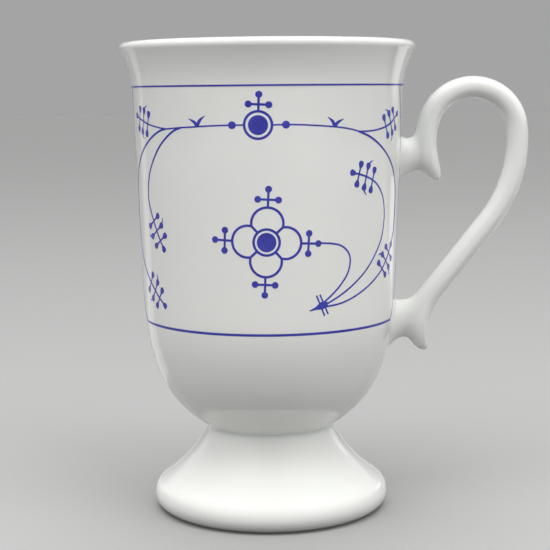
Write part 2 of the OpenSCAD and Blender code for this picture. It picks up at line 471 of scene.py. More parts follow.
def new_material(name: str) -> tuple[Material, NodeBench, Node]:
    """Makes a material with a bare Principled shader and returns it, its bench and the shader."""
    material = bpy.data.materials.new(name)
    material.use_nodes = True
    bench = NodeBench(material.node_tree)
    return material, bench, material.node_tree.nodes["Principled BSDF"]


def group_node(bench: NodeBench, tree: NodeTree, values: dict[str, object]) -> NodeSocket:
    """Places a shader group in a material with its own values and returns what it puts out."""
    return bench.out("ShaderNodeGroup", values, node_tree=tree)


@dataclass(frozen=True)
class Relief:
    """Fine relief of a surface: waves and peel by their counts per metre, and a depth in millimetres."""

    waves: float
    peel: float
    peel_share: float
    depth: float

    def bend(self, bench: NodeBench, shader: Node, ripple: NodeTree) -> None:
        """Feeds the relief to a shader's normal.

        Args:
            bench: Bench of the material.
            shader: Shader whose normal is bent.
            ripple: Shared group that makes the height.
        """
        scales = {"Wave Scale": self.waves, "Peel Scale": self.peel, "Peel Share": self.peel_share}
        height = group_node(bench, ripple, scales)
        bump = {"Height": height, "Distance": self.depth * MM, "Strength": 1.0}
        bench.feed(bench.out("ShaderNodeBump", bump), shader, "Normal")


@dataclass(frozen=True)
class Finish:
    """Finish whose tone drifts slowly between a light one and a deep one, over a fine relief."""

    name: str
    light_tone: Colour
    deep_tone: Colour
    drift_scale: float
    roughness: float
    relief: Relief = Relief(waves=55.0, peel=700.0, peel_share=0.02, depth=0.010)

    def make(self, effects: GlazeEffects) -> Material:
        """Makes the material.

        Args:
            effects: Shared node groups.

        Returns:
            The material.
        """
        material, bench, shader = new_material(self.name)
        tones = {"Light Tone": self.light_tone, "Deep Tone": self.deep_tone, "Scale": self.drift_scale}
        tone = self.tone_over(group_node(bench, effects.drift, tones), bench, effects)
        bench.feed(tone, shader, "Base Color")
        for socket, value in self.constants().items():
            shader.inputs[socket].default_value = value
        self.relief.bend(bench, shader, effects.ripple)
        return material

    def tone_over(self, drift: NodeSocket, bench: NodeBench, effects: GlazeEffects) -> NodeSocket:
        """Returns the final tone; a plain finish has only the drift."""
        return drift

    def constants(self) -> dict[str, float]:
        """Returns the constant values of the shader's own sockets."""
        return {"Roughness": self.roughness}


@dataclass(frozen=True)
class GlazedPorcelain(Finish):
    """Clear glossy glaze over white porcelain, greener where it pools and darker there as painted crease
    shade.
    """

    name: str = "glazed_porcelain"
    light_tone: Colour = (0.825, 0.830, 0.800, 1.0)
    deep_tone: Colour = (0.790, 0.800, 0.772, 1.0)
    drift_scale: float = 22.0
    roughness: float = 0.03
    # Tone of the pooled glaze, darker than the glaze partly as painted shade in the creases.
    pooled_and_shaded_tone: Colour = (0.660, 0.705, 0.680, 1.0)
    speck_tone: Colour = (0.330, 0.280, 0.220, 1.0)

    def tone_over(self, drift: NodeSocket, bench: NodeBench, effects: GlazeEffects) -> NodeSocket:
        """Lays the pooled glaze, darkened partly as painted crease shade, and the specks over the drift and
        returns the tone.
        """
        pooling_and_shade = bench.add("ShaderNodeAttribute", attribute_name=POOLING_AND_SHADE).outputs["Fac"]
        tone = bench.mix_colour(pooling_and_shade, drift, self.pooled_and_shaded_tone)
        specks = group_node(bench, effects.specks, {"Cells": 95.0, "Size": 0.014, "Share": 0.22})
        return bench.mix_colour(specks, tone, self.speck_tone)

    def constants(self) -> dict[str, float]:
        """Returns the constant values of the shader's own sockets."""
        return {"Roughness": self.roughness, "IOR": 1.55, "Coat Weight": 0.8, "Coat Roughness": 0.02}


@dataclass(frozen=True)
class CobaltPrint(Finish):
    """Cobalt blue transfer, fired into the glaze."""

    name: str = "cobalt_print"
    light_tone: Colour = (0.044, 0.050, 0.430, 1.0)
    deep_tone: Colour = (0.028, 0.032, 0.340, 1.0)
    drift_scale: float = 260.0
    roughness: float = 0.03

    def constants(self) -> dict[str, float]:
        """Returns the constant values of the shader's own sockets."""
        return {"Roughness": self.roughness, "IOR": 1.45}


@dataclass(frozen=True)
class BarePorcelain(Finish):
    """Unglazed porcelain of the standing ring, wiped and ground after firing."""

    name: str = "bare_porcelain"
    light_tone: Colour = (0.735, 0.705, 0.630, 1.0)
    deep_tone: Colour = (0.600, 0.560, 0.480, 1.0)
    drift_scale: float = 420.0
    roughness: float = 0.72
    relief: Relief = Relief(waves=900.0, peel=3200.0, peel_share=0.6, depth=0.05)


@dataclass(frozen=True)
class FloorPaint:
    """Plain pale paint of the studio floor, which throws less light back up than it shows."""

    tone: Colour = (0.37, 0.37, 0.367, 1.0)
    bounced_tone: Colour = (0.06, 0.06, 0.059, 1.0)
    roughness: float = 0.85

    def make(self) -> Material:
        """Makes the material and returns it."""
        material, bench, shader = new_material("floor_paint")
        tone = bench.mix_colour(seen_ray(bench), self.bounced_tone, self.tone)
        bench.feed(tone, shader, "Base Color")
        shader.inputs["Roughness"].default_value = self.roughness
        shader.inputs["Specular IOR Level"].default_value = 0.0
        return material


def seen_ray(bench: NodeBench) -> NodeSocket:
    """Returns 1 for a ray on which the camera sees a surface, directly, mirrored or through glass."""
    rays = bench.add("ShaderNodeLightPath").outputs
    mirrored = bench.math("MAXIMUM", rays["Is Glossy Ray"], rays["Is Transmission Ray"])
    return bench.math("MAXIMUM", rays["Is Camera Ray"], mirrored)


# Pieces


@dataclass
class Bowl:
    """Turned bowl with a flared, rolled lip and a round bottom."""

    cup_height: float = 135.0
    rim_diameter: float = 84.55
    flare_reach: float = 3.6
    flare_height: float = 15.0
    wall_draw: float = 2.2
    belly_height: float = 59.6
    belly_radius: float = 60.0
    belly_turn: float = 20.0
    bottom_radius: float = 32.0
    inside_bottom_radius: float = 23.9
    wall: float = 3.1

    def __post_init__(self) -> None:
        """Works out the lines and arcs of the outside, each tangent to the next."""
        rim_radius = self.rim_diameter / 2
        self.lip_radius = self.wall / 2
        self.collar = np.array([rim_radius - self.flare_reach, self.cup_height - self.flare_height])
        self.belly = np.array([self.collar[0] - self.wall_draw, self.belly_height])
        lean = self.collar - self.belly
        self.taper = math.degrees(math.atan2(lean[0], lean[1]))
        self.wall_normal = toward(-self.taper)
        self.lip_centre = np.array([rim_radius - self.lip_radius, self.cup_height - self.lip_radius])
        chord = self.collar - self.lip_centre
        room = 2 * (self.lip_radius - chord @ self.wall_normal)
        self.flare_radius = (chord @ chord - self.lip_radius**2) / room
        self.flare_centre = self.collar + self.flare_radius * self.wall_normal
        reach = self.lip_centre - self.flare_centre
        self.flare_end = math.degrees(math.atan2(reach[1], reach[0])) % 360
        self.belly_centre = self.belly - self.belly_radius * self.wall_normal
        aim = toward(-self.belly_turn)
        self.bottom_centre = self.belly_centre + (self.belly_radius - self.bottom_radius) * aim
        inside_step = self.belly_radius - self.wall - self.inside_bottom_radius
        self.inside_centre = self.belly_centre + inside_step * aim

    def radius_at(self, height: float | np.ndarray) -> float | np.ndarray:
        """Returns the radius of the outside at a height between the bottom round and the collar."""
        height = np.asarray(height, float)
        wall = self.belly[0] + (height - self.belly[1]) * math.tan(math.radians(self.taper))
        drop = np.clip(self.belly_centre[1] - height, -self.belly_radius, self.belly_radius)
        belly = self.belly_centre[0] + np.sqrt(self.belly_radius**2 - drop**2)
        return np.where(height >= self.belly[1], wall, belly)

    def wall_x(self, y: np.ndarray, z: np.ndarray) -> np.ndarray:
        """Returns how far the outside lies along X at places along Y and Z."""
        return np.sqrt(np.maximum(self.radius_at(z) ** 2 - y**2, 0.0))

    def flare_point(self, height: float, rise: float) -> Point:
        """Returns the point of the flare at a height, lifted off the surface by a rise."""
        angle = 180 - math.degrees(math.asin((height - self.flare_centre[1]) / self.flare_radius))
        return tuple(self.flare_centre + (self.flare_radius - rise) * toward(angle))

    def profile(self) -> list[Point]:
        """Returns the outline, from the axis below, over the lip, to the axis inside."""
        underside = self.bottom_centre[1] - self.bottom_radius
        centre, inside = self.bottom_centre, self.inside_centre
        floor = inside[1] - self.inside_bottom_radius
        return outline(
            straight((0.0, underside), (centre[0], underside)),
            arc(centre, self.bottom_radius, -90, -self.belly_turn),
            arc(self.belly_centre, self.belly_radius, -self.belly_turn, -self.taper),
            straight(tuple(self.belly), tuple(self.collar)),
            arc(self.flare_centre, self.flare_radius, 180 - self.taper, self.flare_end, step=0.6),
            arc(self.lip_centre, self.lip_radius, self.flare_end - 180, self.flare_end, step=0.25),
            arc(self.flare_centre, self.flare_radius + self.wall, self.flare_end, 180 - self.taper),
            straight(
                tuple(self.collar - self.wall * self.wall_normal),
                tuple(self.belly - self.wall * self.wall_normal),
            ),
            arc(self.belly_centre, self.belly_radius - self.wall, -self.taper, -self.belly_turn),
            arc(inside, self.inside_bottom_radius, -self.belly_turn, -90),
            straight((inside[0], floor), (0.0, floor)),
        )

    def build(self, turned: TurnedForm, finish: Material, crease: Point) -> Object:
        """Turns the bowl.

        Args:
            turned: Tree for turned forms.
            finish: Glaze of the bowl.
            crease: Radius and height of the crease with the foot, where glaze pools and shade is painted.

        Returns:
            The bowl.
        """
        piece = turned.turn("bowl_casting", self.profile(), finish, pooling_and_shade_near(crease))
        hand_over(piece, Slot.GLAZE, "bowl")
        return piece


def pooling_and_shade_near(crease: Point, reach: float = 2.6, most: float = 0.55) -> Callable[[float, float], float]:
    """Makes a rule for the glaze that pools beside a crease, whose darker tone is partly painted shade.

    Args:
        crease: Radius and height of the crease.
        reach: Distance from the crease at which no more glaze pools and no more shade is painted.
        most: Share of pooled glaze and painted shade in the crease itself.

    Returns:
        A function of radius and height.
    """

    def share(radius: float, height: float) -> float:
        """Returns the share of pooled glaze and painted shade at a radius and height."""
        return most * max(0.0, 1 - math.dist((radius, height), crease) / reach) ** 2

    return share


@dataclass
class Foot:
    """Hollow spreading foot with a round brim on a flat standing ring."""

    bowl: Bowl
    foot_diameter: float = 68.8
    neck_diameter: float = 36.8
    brim_under_radius: float = 4.0
    brim_top_radius: float = 5.0
    brim_slope: float = 56.0
    foot_wall: float = 4.0
    ring_width: float = 2.6
    ring_depth: float = 0.15
    ring_edge: float = 0.25
    ring_top: float = 0.75
    under_start: float = -75.0
    slip: float = 0.4
    fillet: float = 0.7

    def __post_init__(self) -> None:
        """Works out the hollow flank, which is tangent to the brim, and the seat under the bowl."""
        bowl = self.bowl
        radius = self.foot_diameter / 2
        seat = bowl.bottom_radius + self.slip
        neck_radius = self.neck_diameter / 2
        drop = math.sqrt(seat**2 - (neck_radius - bowl.bottom_centre[0]) ** 2)
        self.neck = np.array([neck_radius, bowl.bottom_centre[1] - drop])
        self.brim_centre = np.array([radius - self.brim_top_radius, self.brim_under_radius])
        brim_start = self.brim_centre + self.brim_top_radius * toward(self.brim_slope)
        chord = brim_start - self.neck
        chord_slope = math.degrees(math.atan2(chord[0], -chord[1]))
        self.neck_slope = 2 * chord_slope - self.brim_slope
        bend = math.radians(self.brim_slope - chord_slope)
        self.flank_radius = float(np.linalg.norm(chord)) / (2 * math.sin(bend))
        self.flank_centre = self.neck + self.flank_radius * toward(self.neck_slope)
        self.ring_outside = radius - self.brim_under_radius
        self.ring_inside = self.ring_outside - self.ring_width
        self.hollow_radius = self.flank_radius + self.foot_wall
        self._seat(seat)

    def _seat(self, seat: float) -> None:
        """Works out where the hollow meets the seat.

        Args:
            seat: Radius of the seat about the centre of the bowl's bottom round.
        """
        centre = self.bowl.bottom_centre
        to_flank = self.flank_centre - centre
        distance = float(np.linalg.norm(to_flank))
        cosine = (distance**2 + seat**2 - self.hollow_radius**2) / (2 * distance * seat)
        heading = math.degrees(math.atan2(to_flank[1], to_flank[0]))
        self.seat_radius = seat
        self.seat_inside = heading - math.degrees(math.acos(cosine))
        self.seat_outside = -math.degrees(math.acos((self.neck[0] - centre[0]) / seat))
        edge = centre + seat * toward(self.seat_inside)
        high = (self.flank_centre[1] - edge[1]) / self.hollow_radius
        self.hollow_high = 180 + math.degrees(math.asin(high))
        low = (self.flank_centre[0] - self.ring_inside) / self.hollow_radius
        self.hollow_low = 180 + math.degrees(math.acos(low))

    def profile(self) -> list[Point]:
        """Returns the outline, from the standing ring over the brim, the flank and the seat to the hollow."""
        under = (self.ring_outside, self.brim_under_radius)
        depth = self.ring_depth
        return outline(
            straight((self.ring_inside + depth, depth), (self.ring_outside, depth)),
            arc(under, self.brim_under_radius, self.under_start, 0, step=0.5),
            arc(self.brim_centre, self.brim_top_radius, 0, self.brim_slope, step=0.5),
            arc(self.flank_centre, self.flank_radius, 180 + self.brim_slope, 180 + self.neck_slope),
            arc(self.bowl.bottom_centre, self.seat_radius, self.seat_outside, self.seat_inside),
            arc(self.flank_centre, self.hollow_radius, self.hollow_high, self.hollow_low),
            [(self.ring_inside + depth, depth)],
        )

    def ring_profile(self) -> list[Point]:
        """Returns the outline of the bare standing ring, whose upper half lies inside the brim."""
        inside, outside, edge = self.ring_inside, self.ring_outside, self.ring_edge
        return outline(
            straight((inside + edge, 0.0), (outside, 0.0), step=0.5),
            arc((outside, edge * 2), edge * 2, -90, -20, step=0.1),
            [(outside, self.ring_top), (inside + edge * 2, self.ring_top), (inside + edge / 5, edge)],
            [(inside + edge, 0.0)],
        )

    def seam_profile(self) -> list[Point]:
        """Returns the outline of the slip under the bowl, with its small fillet in the crease."""
        bowl, centre = self.bowl, self.bowl.bottom_centre
        overlap, core_depth, steps = 0.1, 0.6, 8
        spread = math.degrees(self.fillet / bowl.bottom_radius)
        on_bowl = centre + bowl.bottom_radius * toward(self.seat_outside + spread)
        flank_spread = math.degrees(self.fillet / self.flank_radius)
        on_foot = self.flank_centre + self.flank_radius * toward(180 + self.neck_slope + flank_spread)
        corner = centre + (bowl.bottom_radius + overlap) * toward(self.seat_outside)
        under = arc(centre, self.seat_radius + overlap, self.seat_inside, self.seat_outside)
        return outline(
            under[:-1],
            [(on_foot[0] - core_depth, on_foot[1])],
            [tuple(bent(i / steps, on_foot, corner, on_bowl)) for i in range(steps + 1)],
            arc(centre, bowl.bottom_radius - overlap, self.seat_outside, self.seat_inside),
            under[:1],
        )

    def build(self, turned: TurnedForm, glaze: Material, bare: Material) -> None:
        """Turns the foot, its bare ring and the slip that holds the bowl.

        Args:
            turned: Tree for turned forms.
            glaze: Glaze of the foot.
            bare: Bare porcelain of the ring.
        """
        # Pooled glaze and painted shade beside the crease at the neck.
        pooling_and_shade = pooling_and_shade_near(tuple(self.neck))
        foot = turned.turn("foot_casting", self.profile(), glaze, pooling_and_shade, sharp_angle=50)
        hand_over(foot, Slot.GLAZE, "foot")
        ring = turned.turn("bare_standing_ring", self.ring_profile(), bare)
        hand_over(ring, Slot.BARE)
        seam = turned.turn("foot_slip_fillet", self.seam_profile(), glaze, pooling_and_shade, sharp_angle=60)
        hand_over(seam, Slot.SLIP, "foot_slip_seam")


@dataclass(frozen=True)
class Stretch:
    """One arc or straight of the limb's middle line, in the XZ plane.

    An arc runs from its first angle about its centre, clockwise (sense 1) or the other way (sense -1). A
    straight has sense 0: its centre is its start and its first angle is its heading.
    """

    length: float
    centre: Point
    radius: float
    first: float
    sense: int

    @staticmethod
    def arc(centre: np.ndarray, radius: float, start: float, end: float) -> "Stretch":
        """Makes an arc from a first angle to a last one, in degrees."""
        length = abs(math.radians(end - start)) * radius
        return Stretch(length, tuple(centre), radius, start, 1 if start > end else -1)

    def point_at(self, length: float) -> Point:
        """Returns the point of the stretch at a length from its start."""
        first = math.radians(self.first)
        if self.sense == 0:
            return self.centre[0] + length * math.cos(first), self.centre[1] + length * math.sin(first)
        angle = first - self.sense * length / self.radius
        return (
            self.centre[0] + self.radius * math.cos(angle),
            self.centre[1] + self.radius * math.sin(angle),
        )

    def locate(self, x: np.ndarray, z: np.ndarray) -> tuple[np.ndarray, np.ndarray]:
        """Finds points beside the stretch.

        Args:
            x: Places along X.
            z: Places along Z.

        Returns:
            The length along the stretch, which may lie beyond its ends, and the distance to its left.
        """
        dx, dz = x - self.centre[0], z - self.centre[1]
        first = math.radians(self.first)
        if self.sense == 0:
            along = dx * math.cos(first) + dz * math.sin(first)
            return along, dz * math.cos(first) - dx * math.sin(first)
        middle = self.length / self.radius / 2
        turned = self.sense * (first - np.arctan2(dz, dx)) - middle
        turned = (turned + math.pi) % math.tau - math.pi + middle
        return turned * self.radius, self.sense * (np.hypot(dx, dz) - self.radius)


@dataclass(frozen=True)
class Stub:
    """Waisted bridge from the bowl's wall to the limb.

    The spreads widen it towards the wall, and the rise and the drop widen it towards the limb.
    """

    height: float
    waist: float
    lower_spread: float
    rise: float
    wall_x: float
    limb_x: float
    upper_edge_spread: float = 1.1
    upper_edge_share: float = 0.28
    width: float = 7.2
    side_spread: float = 1.8
    drop: float = 1.6
    flare_share: float = 0.6
    flare_power: float = 2.0
    root: float = 2.4
    root_share: float = 0.35
    most_near_wall: float = 1.5
    limb_power: int = 4
    limb_overlap: float = 0.6

    def halves(self, x: np.ndarray) -> tuple[np.ndarray, np.ndarray, np.ndarray]:
        """Returns how far the stub reaches up, down and sideways at places along X."""
        share = np.clip((x - self.wall_x) / (self.limb_x - self.wall_x), -self.root_share, 1.0)
        near_bowl = np.clip(1 - share / self.flare_share, 0.0, None) ** self.flare_power
        near_wall = np.clip(1 - share / self.upper_edge_share, 0.0, self.most_near_wall) ** 2
        near_limb = np.clip(share, 0.0, None) ** self.limb_power
        up = self.waist / 2 + self.upper_edge_spread * near_wall + self.rise * near_limb
        down = self.waist / 2 + self.lower_spread * near_bowl + self.drop * near_limb
        return up, down, self.width / 2 + self.side_spread * near_bowl

    def field(self, points: np.ndarray) -> np.ndarray:
        """Returns the distance of points from the stub's surface, negative inside it."""
        x, y, z = points.T
        up, down, side = self.halves(x)
        rise = z - self.height
        tall = np.where(rise > 0, up, down)
        size = np.sqrt((y / side) ** 2 + (rise / tall) ** 2)
        steep = np.sqrt((y / side**2) ** 2 + (rise / tall**2) ** 2) / np.maximum(size, TINY)
        surface = (size - 1) / np.maximum(steep, 1 / np.maximum(tall, side))
        beyond = np.maximum(x - self.limb_x - self.limb_overlap, self.wall_x - self.root - x)
        return np.maximum(surface, beyond)

    def outline_at(self, turn: np.ndarray, x: np.ndarray, grow: float = 0.0) -> tuple[np.ndarray, np.ndarray]:
        """Lays points round the stub.

        Args:
            turn: Angles round the stub from its upper edge, in radians.
            x: Places along X, one for each angle.
            grow: Distance to move the points outwards.

        Returns:
            Their places along Y and Z.
        """
        up, down, side = self.halves(x)
        tall = np.where(np.cos(turn) > 0, up, down)
        normal = np.stack([np.sin(turn) * tall, np.cos(turn) * side])
        normal /= np.linalg.norm(normal, axis=0)
        y = side * np.sin(turn) + grow * normal[0]
        return y, self.height + tall * np.cos(turn) + grow * normal[1]


def soft_union(first: np.ndarray, second: np.ndarray, blend: float) -> np.ndarray:
    """Joins two distance fields with a soft hollow where they meet.

    Args:
        first: Distances from one surface.
        second: Distances from the other.
        blend: Size of the hollow.

    Returns:
        Distances from the joined surface.
    """
    share = np.clip(blend - np.abs(first - second), 0.0, None) / blend
    return np.minimum(first, second) - share**3 * blend / 6


@dataclass
class Handle:
    """Cast ear handle: one limb from a pointed spur to a pointed tail, on two stubs."""

    bowl: Bowl
    limb_thickness: float = 6.2
    limb_width: float = 8.4
    limb_stand: float = 7.5
    ear_height: float = 109.0
    ear_radius: float = 12.9
    ear_turn: float = 155.0
    spur_radius: float = 18.5
    spur_angle: float = 37.5
    shoulder_start: float = 5.0
    shoulder_radius: float = 38.0
    heel_height: float = 51.2
    heel_radius: float = 19.6
    tail_radius: float = 7.6
    tail_angle: float = 47.0
    point_length: float = 9.5
    upper_stub_height: float = 102.9
    lower_stub_height: float = 54.9
    section_power: float = 2.2
    blend: float = 3.2
    voxel: float = 0.36
    fillet: float = 0.55
    least_steep: float = 0.8
    least_slope: float = 0.05
    longest_move: float = 0.4
    relax_rounds: int = 10
    line: list[Stretch] = field(default_factory=list)

    def __post_init__(self) -> None:
        """Works out the middle line of the limb and the two stubs."""
        top_wall = float(self.bowl.radius_at(self.upper_stub_height))
        low_wall = float(self.bowl.radius_at(self.lower_stub_height))
        top_x, heel_x = top_wall + self.limb_stand, low_wall + self.limb_stand
        self.upper = Stub(
            height=self.upper_stub_height,
            waist=9.0,
            lower_spread=2.9,
            rise=4.0,
            wall_x=top_wall,
            limb_x=top_x,
            drop=0.1,
            flare_share=0.8,
            flare_power=1.4,
        )
        self.lower = Stub(
            height=self.lower_stub_height,
            waist=10.8,
            lower_spread=1.9,
            rise=2.0,
            wall_x=low_wall,
            limb_x=heel_x,
        )
        to_spur = toward(self.ear_turn)
        ear_x = top_x + self.spur_radius + (self.spur_radius - self.ear_radius) * to_spur[0]
        ear = np.array([ear_x, self.ear_height])
        spur = ear + (self.ear_radius - self.spur_radius) * to_spur
        shoulder = ear + (self.ear_radius - self.shoulder_radius) * toward(self.shoulder_start)
        heel = np.array([heel_x + self.heel_radius, self.heel_height])
        tail = np.array([heel_x + self.tail_radius, self.heel_height])
        across = heel - shoulder
        both = self.shoulder_radius + self.heel_radius
        run = math.sqrt(across @ across - both**2)
        swing = math.asin(both / float(np.linalg.norm(across)))
        heading = math.degrees(math.atan2(across[1], across[0]) - swing)
        start = shoulder + self.shoulder_radius * toward(heading + 90)
        self.line = [
            Stretch.arc(spur, self.spur_radius, 180 + self.spur_angle, self.ear_turn),
            Stretch.arc(ear, self.ear_radius, self.ear_turn, self.shoulder_start),
            Stretch.arc(shoulder, self.shoulder_radius, self.shoulder_start, heading + 90),
            Stretch(run, tuple(start), 0.0, heading, 0),
            Stretch.arc(heel, self.heel_radius, heading + 270, 180),
            Stretch.arc(tail, self.tail_radius, 180, 180 + self.tail_angle),
        ]
        self.limb_length = sum(stretch.length for stretch in self.line)

    def beside_limb(self, points: np.ndarray) -> tuple[np.ndarray, np.ndarray]:
        """Finds points beside the limb's middle line.

        Args:
            points: Points as rows of x, y and z.

        Returns:
            The length along the line and the distance from it in the XZ plane.
        """
        x, z = points[:, 0], points[:, 2]
        best = np.full(len(points), np.inf)
        along, aside = np.zeros(len(points)), np.zeros(len(points))
        before, last = 0.0, len(self.line) - 1
        for i, stretch in enumerate(self.line):
            spare = self.point_length / 2
            low = -spare if i == 0 else 0.0
            high = stretch.length + (spare if i == last else 0.0)
            length, left = stretch.locate(x, z)
            held = np.clip(length, low, high)
            gap = np.hypot(left, length - held)
            nearer = gap < best
            best = np.where(nearer, gap, best)
            along = np.where(nearer, before + held, along)
            aside = np.where(nearer, gap, aside)
            before += stretch.length
        return along, aside

    def limb_field(self, points: np.ndarray) -> np.ndarray:
        """Returns the distance of points from the limb's surface, negative inside it."""
        along, aside = self.beside_limb(points)
        thick, wide, power = self.limb_thickness / 2, self.limb_width / 2, self.section_power
        u, v = np.abs(aside) / thick, np.abs(points[:, 1]) / wide
        across = (u**power + v**power) ** (1 / power)
        tip = np.clip(1 - np.minimum(along, self.limb_length - along) / self.point_length, 0.0, None)
        size = np.sqrt(across**2 + tip**2)
        steep = np.sqrt((u / thick) ** 2 + (v / wide) ** 2 + (tip / self.point_length) ** 2)
        return (size - 1) / np.maximum(steep / np.maximum(size, TINY), self.least_steep / wide)

    def field(self, points: np.ndarray) -> np.ndarray:
        """Returns the distance of points from the handle's surface, softly hollowed beside the stubs."""
        limb = self.limb_field(points)
        stubs = np.minimum(self.upper.field(points), self.lower.field(points))
        return soft_union(limb, stubs, self.blend)

    def slopes(self, points: np.ndarray, step: float = 0.01) -> np.ndarray:
        """Returns the direction in which the field grows fastest at points, with its steepness as length."""
        rows = []
        for axis in range(3):
            shift = np.zeros(3)
            shift[axis] = step
            rows.append((self.field(points + shift) - self.field(points - shift)) / (2 * step))
        return np.stack(rows, axis=1)

    def settle(self, points: np.ndarray, rounds: int) -> np.ndarray:
        """Moves points onto the handle's surface in a few rounds and returns them."""
        for _ in range(rounds):
            slope = self.slopes(points)
            steep = np.maximum((slope**2).sum(1, keepdims=True), self.least_slope)
            gap = np.clip(self.field(points)[:, None], -self.longest_move, self.longest_move)
            points = points - gap * slope / steep
        return points

    def blank(self) -> Mesh:
        """Makes the rough shape that is settled onto the surface: balls in a row, fused by a voxel remesh."""
        centres, sizes = self._string()
        ball, ball_faces = ball_mesh(2)
        points = np.concatenate([ball * size + centre for centre, size in zip(centres, sizes)])
        starts = range(0, len(points), len(ball))
        faces = [[corner + start for corner in face] for start in starts for face in ball_faces]
        rough = link_piece("handle_blank", mesh_from("handle_blank", points, faces))
        remesh = rough.modifiers.new("fuse", "REMESH")
        remesh.mode = "VOXEL"
        remesh.voxel_size = self.voxel * MM
        return evaluated(rough, "handle_casting")

    def _string(self) -> tuple[list[np.ndarray], list[np.ndarray]]:
        """Returns centres and half sizes of the balls that fill the limb and the stubs."""
        limb_gap, stub_gap, stub_ball, least_share = 0.7, 0.5, 1.2, 0.02
        limb = np.array([self.limb_thickness, self.limb_width, self.limb_thickness]) / 2
        centres, sizes = [], []
        before = 0.0
        for stretch in self.line:
            for length in np.arange(0.0, stretch.length, limb_gap):
                x, z = stretch.point_at(length)
                from_end = min(before + length, self.limb_length - before - length)
                tip = max(0.0, 1 - from_end / self.point_length)
                centres.append(np.array([x, 0.0, z]))
                sizes.append(limb * math.sqrt(max(least_share, 1 - tip**2)))
            before += stretch.length
        for stub in (self.upper, self.lower):
            for x in np.arange(stub.wall_x - stub.root, stub.limb_x, stub_gap):
                up, down, side = (float(v) for v in stub.halves(np.array(x)))
                centres.append(np.array([x, 0.0, stub.height + (up - down) / 2]))
                sizes.append(np.array([stub_ball, side, (up + down) / 2]))
        return centres, sizes

    def build(self, finish: Material) -> None:
        """Makes the handle.

        Args:
            finish: Glaze of the handle.
        """
        mesh = self.blank()
        flat = np.empty(len(mesh.vertices) * 3)
        mesh.vertices.foreach_get("co", flat)
        ends = np.empty(len(mesh.edges) * 2, int)
        mesh.edges.foreach_get("vertices", ends)
        ends = ends.reshape(-1, 2)
        points = self.settle(flat.reshape(-1, 3) / MM, rounds=12)
        for _ in range(self.relax_rounds):
            points = self.settle(relaxed(points, ends), rounds=2)
        points = self.settle(points, rounds=3)
        mesh.vertices.foreach_set("co", (points * MM).ravel())
        mesh.shade_smooth()
        slope = self.slopes(points)
        normals = slope / np.maximum(np.linalg.norm(slope, axis=1, keepdims=True), TINY)
        mesh.update()
        mesh.normals_split_custom_set_from_vertices(normals.tolist())
        mesh.materials.clear()
        mesh.materials.append(finish)
        hand_over(link_piece("handle_casting", mesh), Slot.GLAZE, "handle")

    def build_seam(self, name: str, stub: Stub, finish: Material, node: str) -> None:
        """Makes the slip round a stub's root, with a small fillet to the wall and to the stub.

        Args:
            name: Name of the piece.
            stub: Stub whose root the slip holds.
            finish: Glaze over the slip.
            node: CAD node that it stands for.
        """
        around, across, rounds = 120, 7, 4
        # The slip round a stub's root takes a share of pooled glaze and painted crease shade.
        core_inset, core_depth, pooled_and_shaded, sharp_angle = 0.7, 0.9, 0.3, 60.0
        turn = np.linspace(0.0, math.tau, around, endpoint=False)
        rings = []
        for grow, lift in ((self.fillet, 0.0), (0.0, 0.0), (0.0, self.fillet), (-core_inset, -core_depth)):
            y, z = stub.outline_at(turn, np.full(around, stub.wall_x), grow)
            for _ in range(rounds if lift > 0 else 0):
                y, z = stub.outline_at(turn, self.bowl.wall_x(y, z) + lift)
            rings.append(np.stack([self.bowl.wall_x(y, z) + lift, y, z], axis=1))
        on_wall, corner, on_stub, core = rings
        rows = [bent(share, on_wall, corner, on_stub) for share in np.linspace(0.0, 1.0, across + 1)]
        rows.append(core)
        faces = []
        for row in range(len(rows)):
            below, above = row * around, (row + 1) % len(rows) * around
            for k in range(around):
                after = (k + 1) % around
                faces.append((below + k, above + k, above + after, below + after))
        mesh = mesh_from(name, np.concatenate(rows), faces)
        face_out(mesh)
        mesh.set_sharp_from_angle(angle=math.radians(sharp_angle))
        mesh.materials.append(finish)
        store_pooling_and_shade(mesh, np.full(len(mesh.vertices), pooled_and_shaded))
        hand_over(link_piece(name, mesh), Slot.SLIP, node)


def ball_mesh(level: int) -> tuple[np.ndarray, list[list[int]]]:
    """Returns the points and faces of a unit ball that is split a number of times."""
    ball = bmesh.new()
    bmesh.ops.create_icosphere(ball, subdivisions=level, radius=1.0)
    points = np.array([vertex.co[:] for vertex in ball.verts])
    faces = [[vertex.index for vertex in face.verts] for face in ball.faces]
    ball.free()
    return points, faces


def relaxed(points: np.ndarray, ends: np.ndarray, share: float = 0.5) -> np.ndarray:
    """Moves each point towards the middle of its neighbours.

    Args:
        points: Points as rows.
        ends: Both points of each edge.
        share: Share of the way that a point moves.

    Returns:
        The moved points.
    """
    total = np.zeros_like(points)
    count = np.zeros(len(points))
    for one, other in ((0, 1), (1, 0)):
        np.add.at(total, ends[:, one], points[ends[:, other]])
        np.add.at(count, ends[:, one], 1)
    return points + share * (total / np.maximum(count, 1)[:, None] - points)


def face_out(mesh: Mesh) -> None:
    """Turns the faces of a closed mesh outwards."""
    form = bmesh.new()
    form.from_mesh(mesh)
    bmesh.ops.recalc_face_normals(form, faces=form.faces)
    form.to_mesh(mesh)
    form.free()


# Print


@dataclass(frozen=True)
class Stroke:
    """One printed line: points as millimetres round the wall and up, with a half width at each point."""

    points: tuple[Point, ...]
    widths: tuple[float, ...]
    closed: bool = False


@dataclass(frozen=True)
class Mark:
    """One filled shape of the print."""

    place: Point
    half_width: float
    half_length: float
    turn: float
    stamp: Stamp


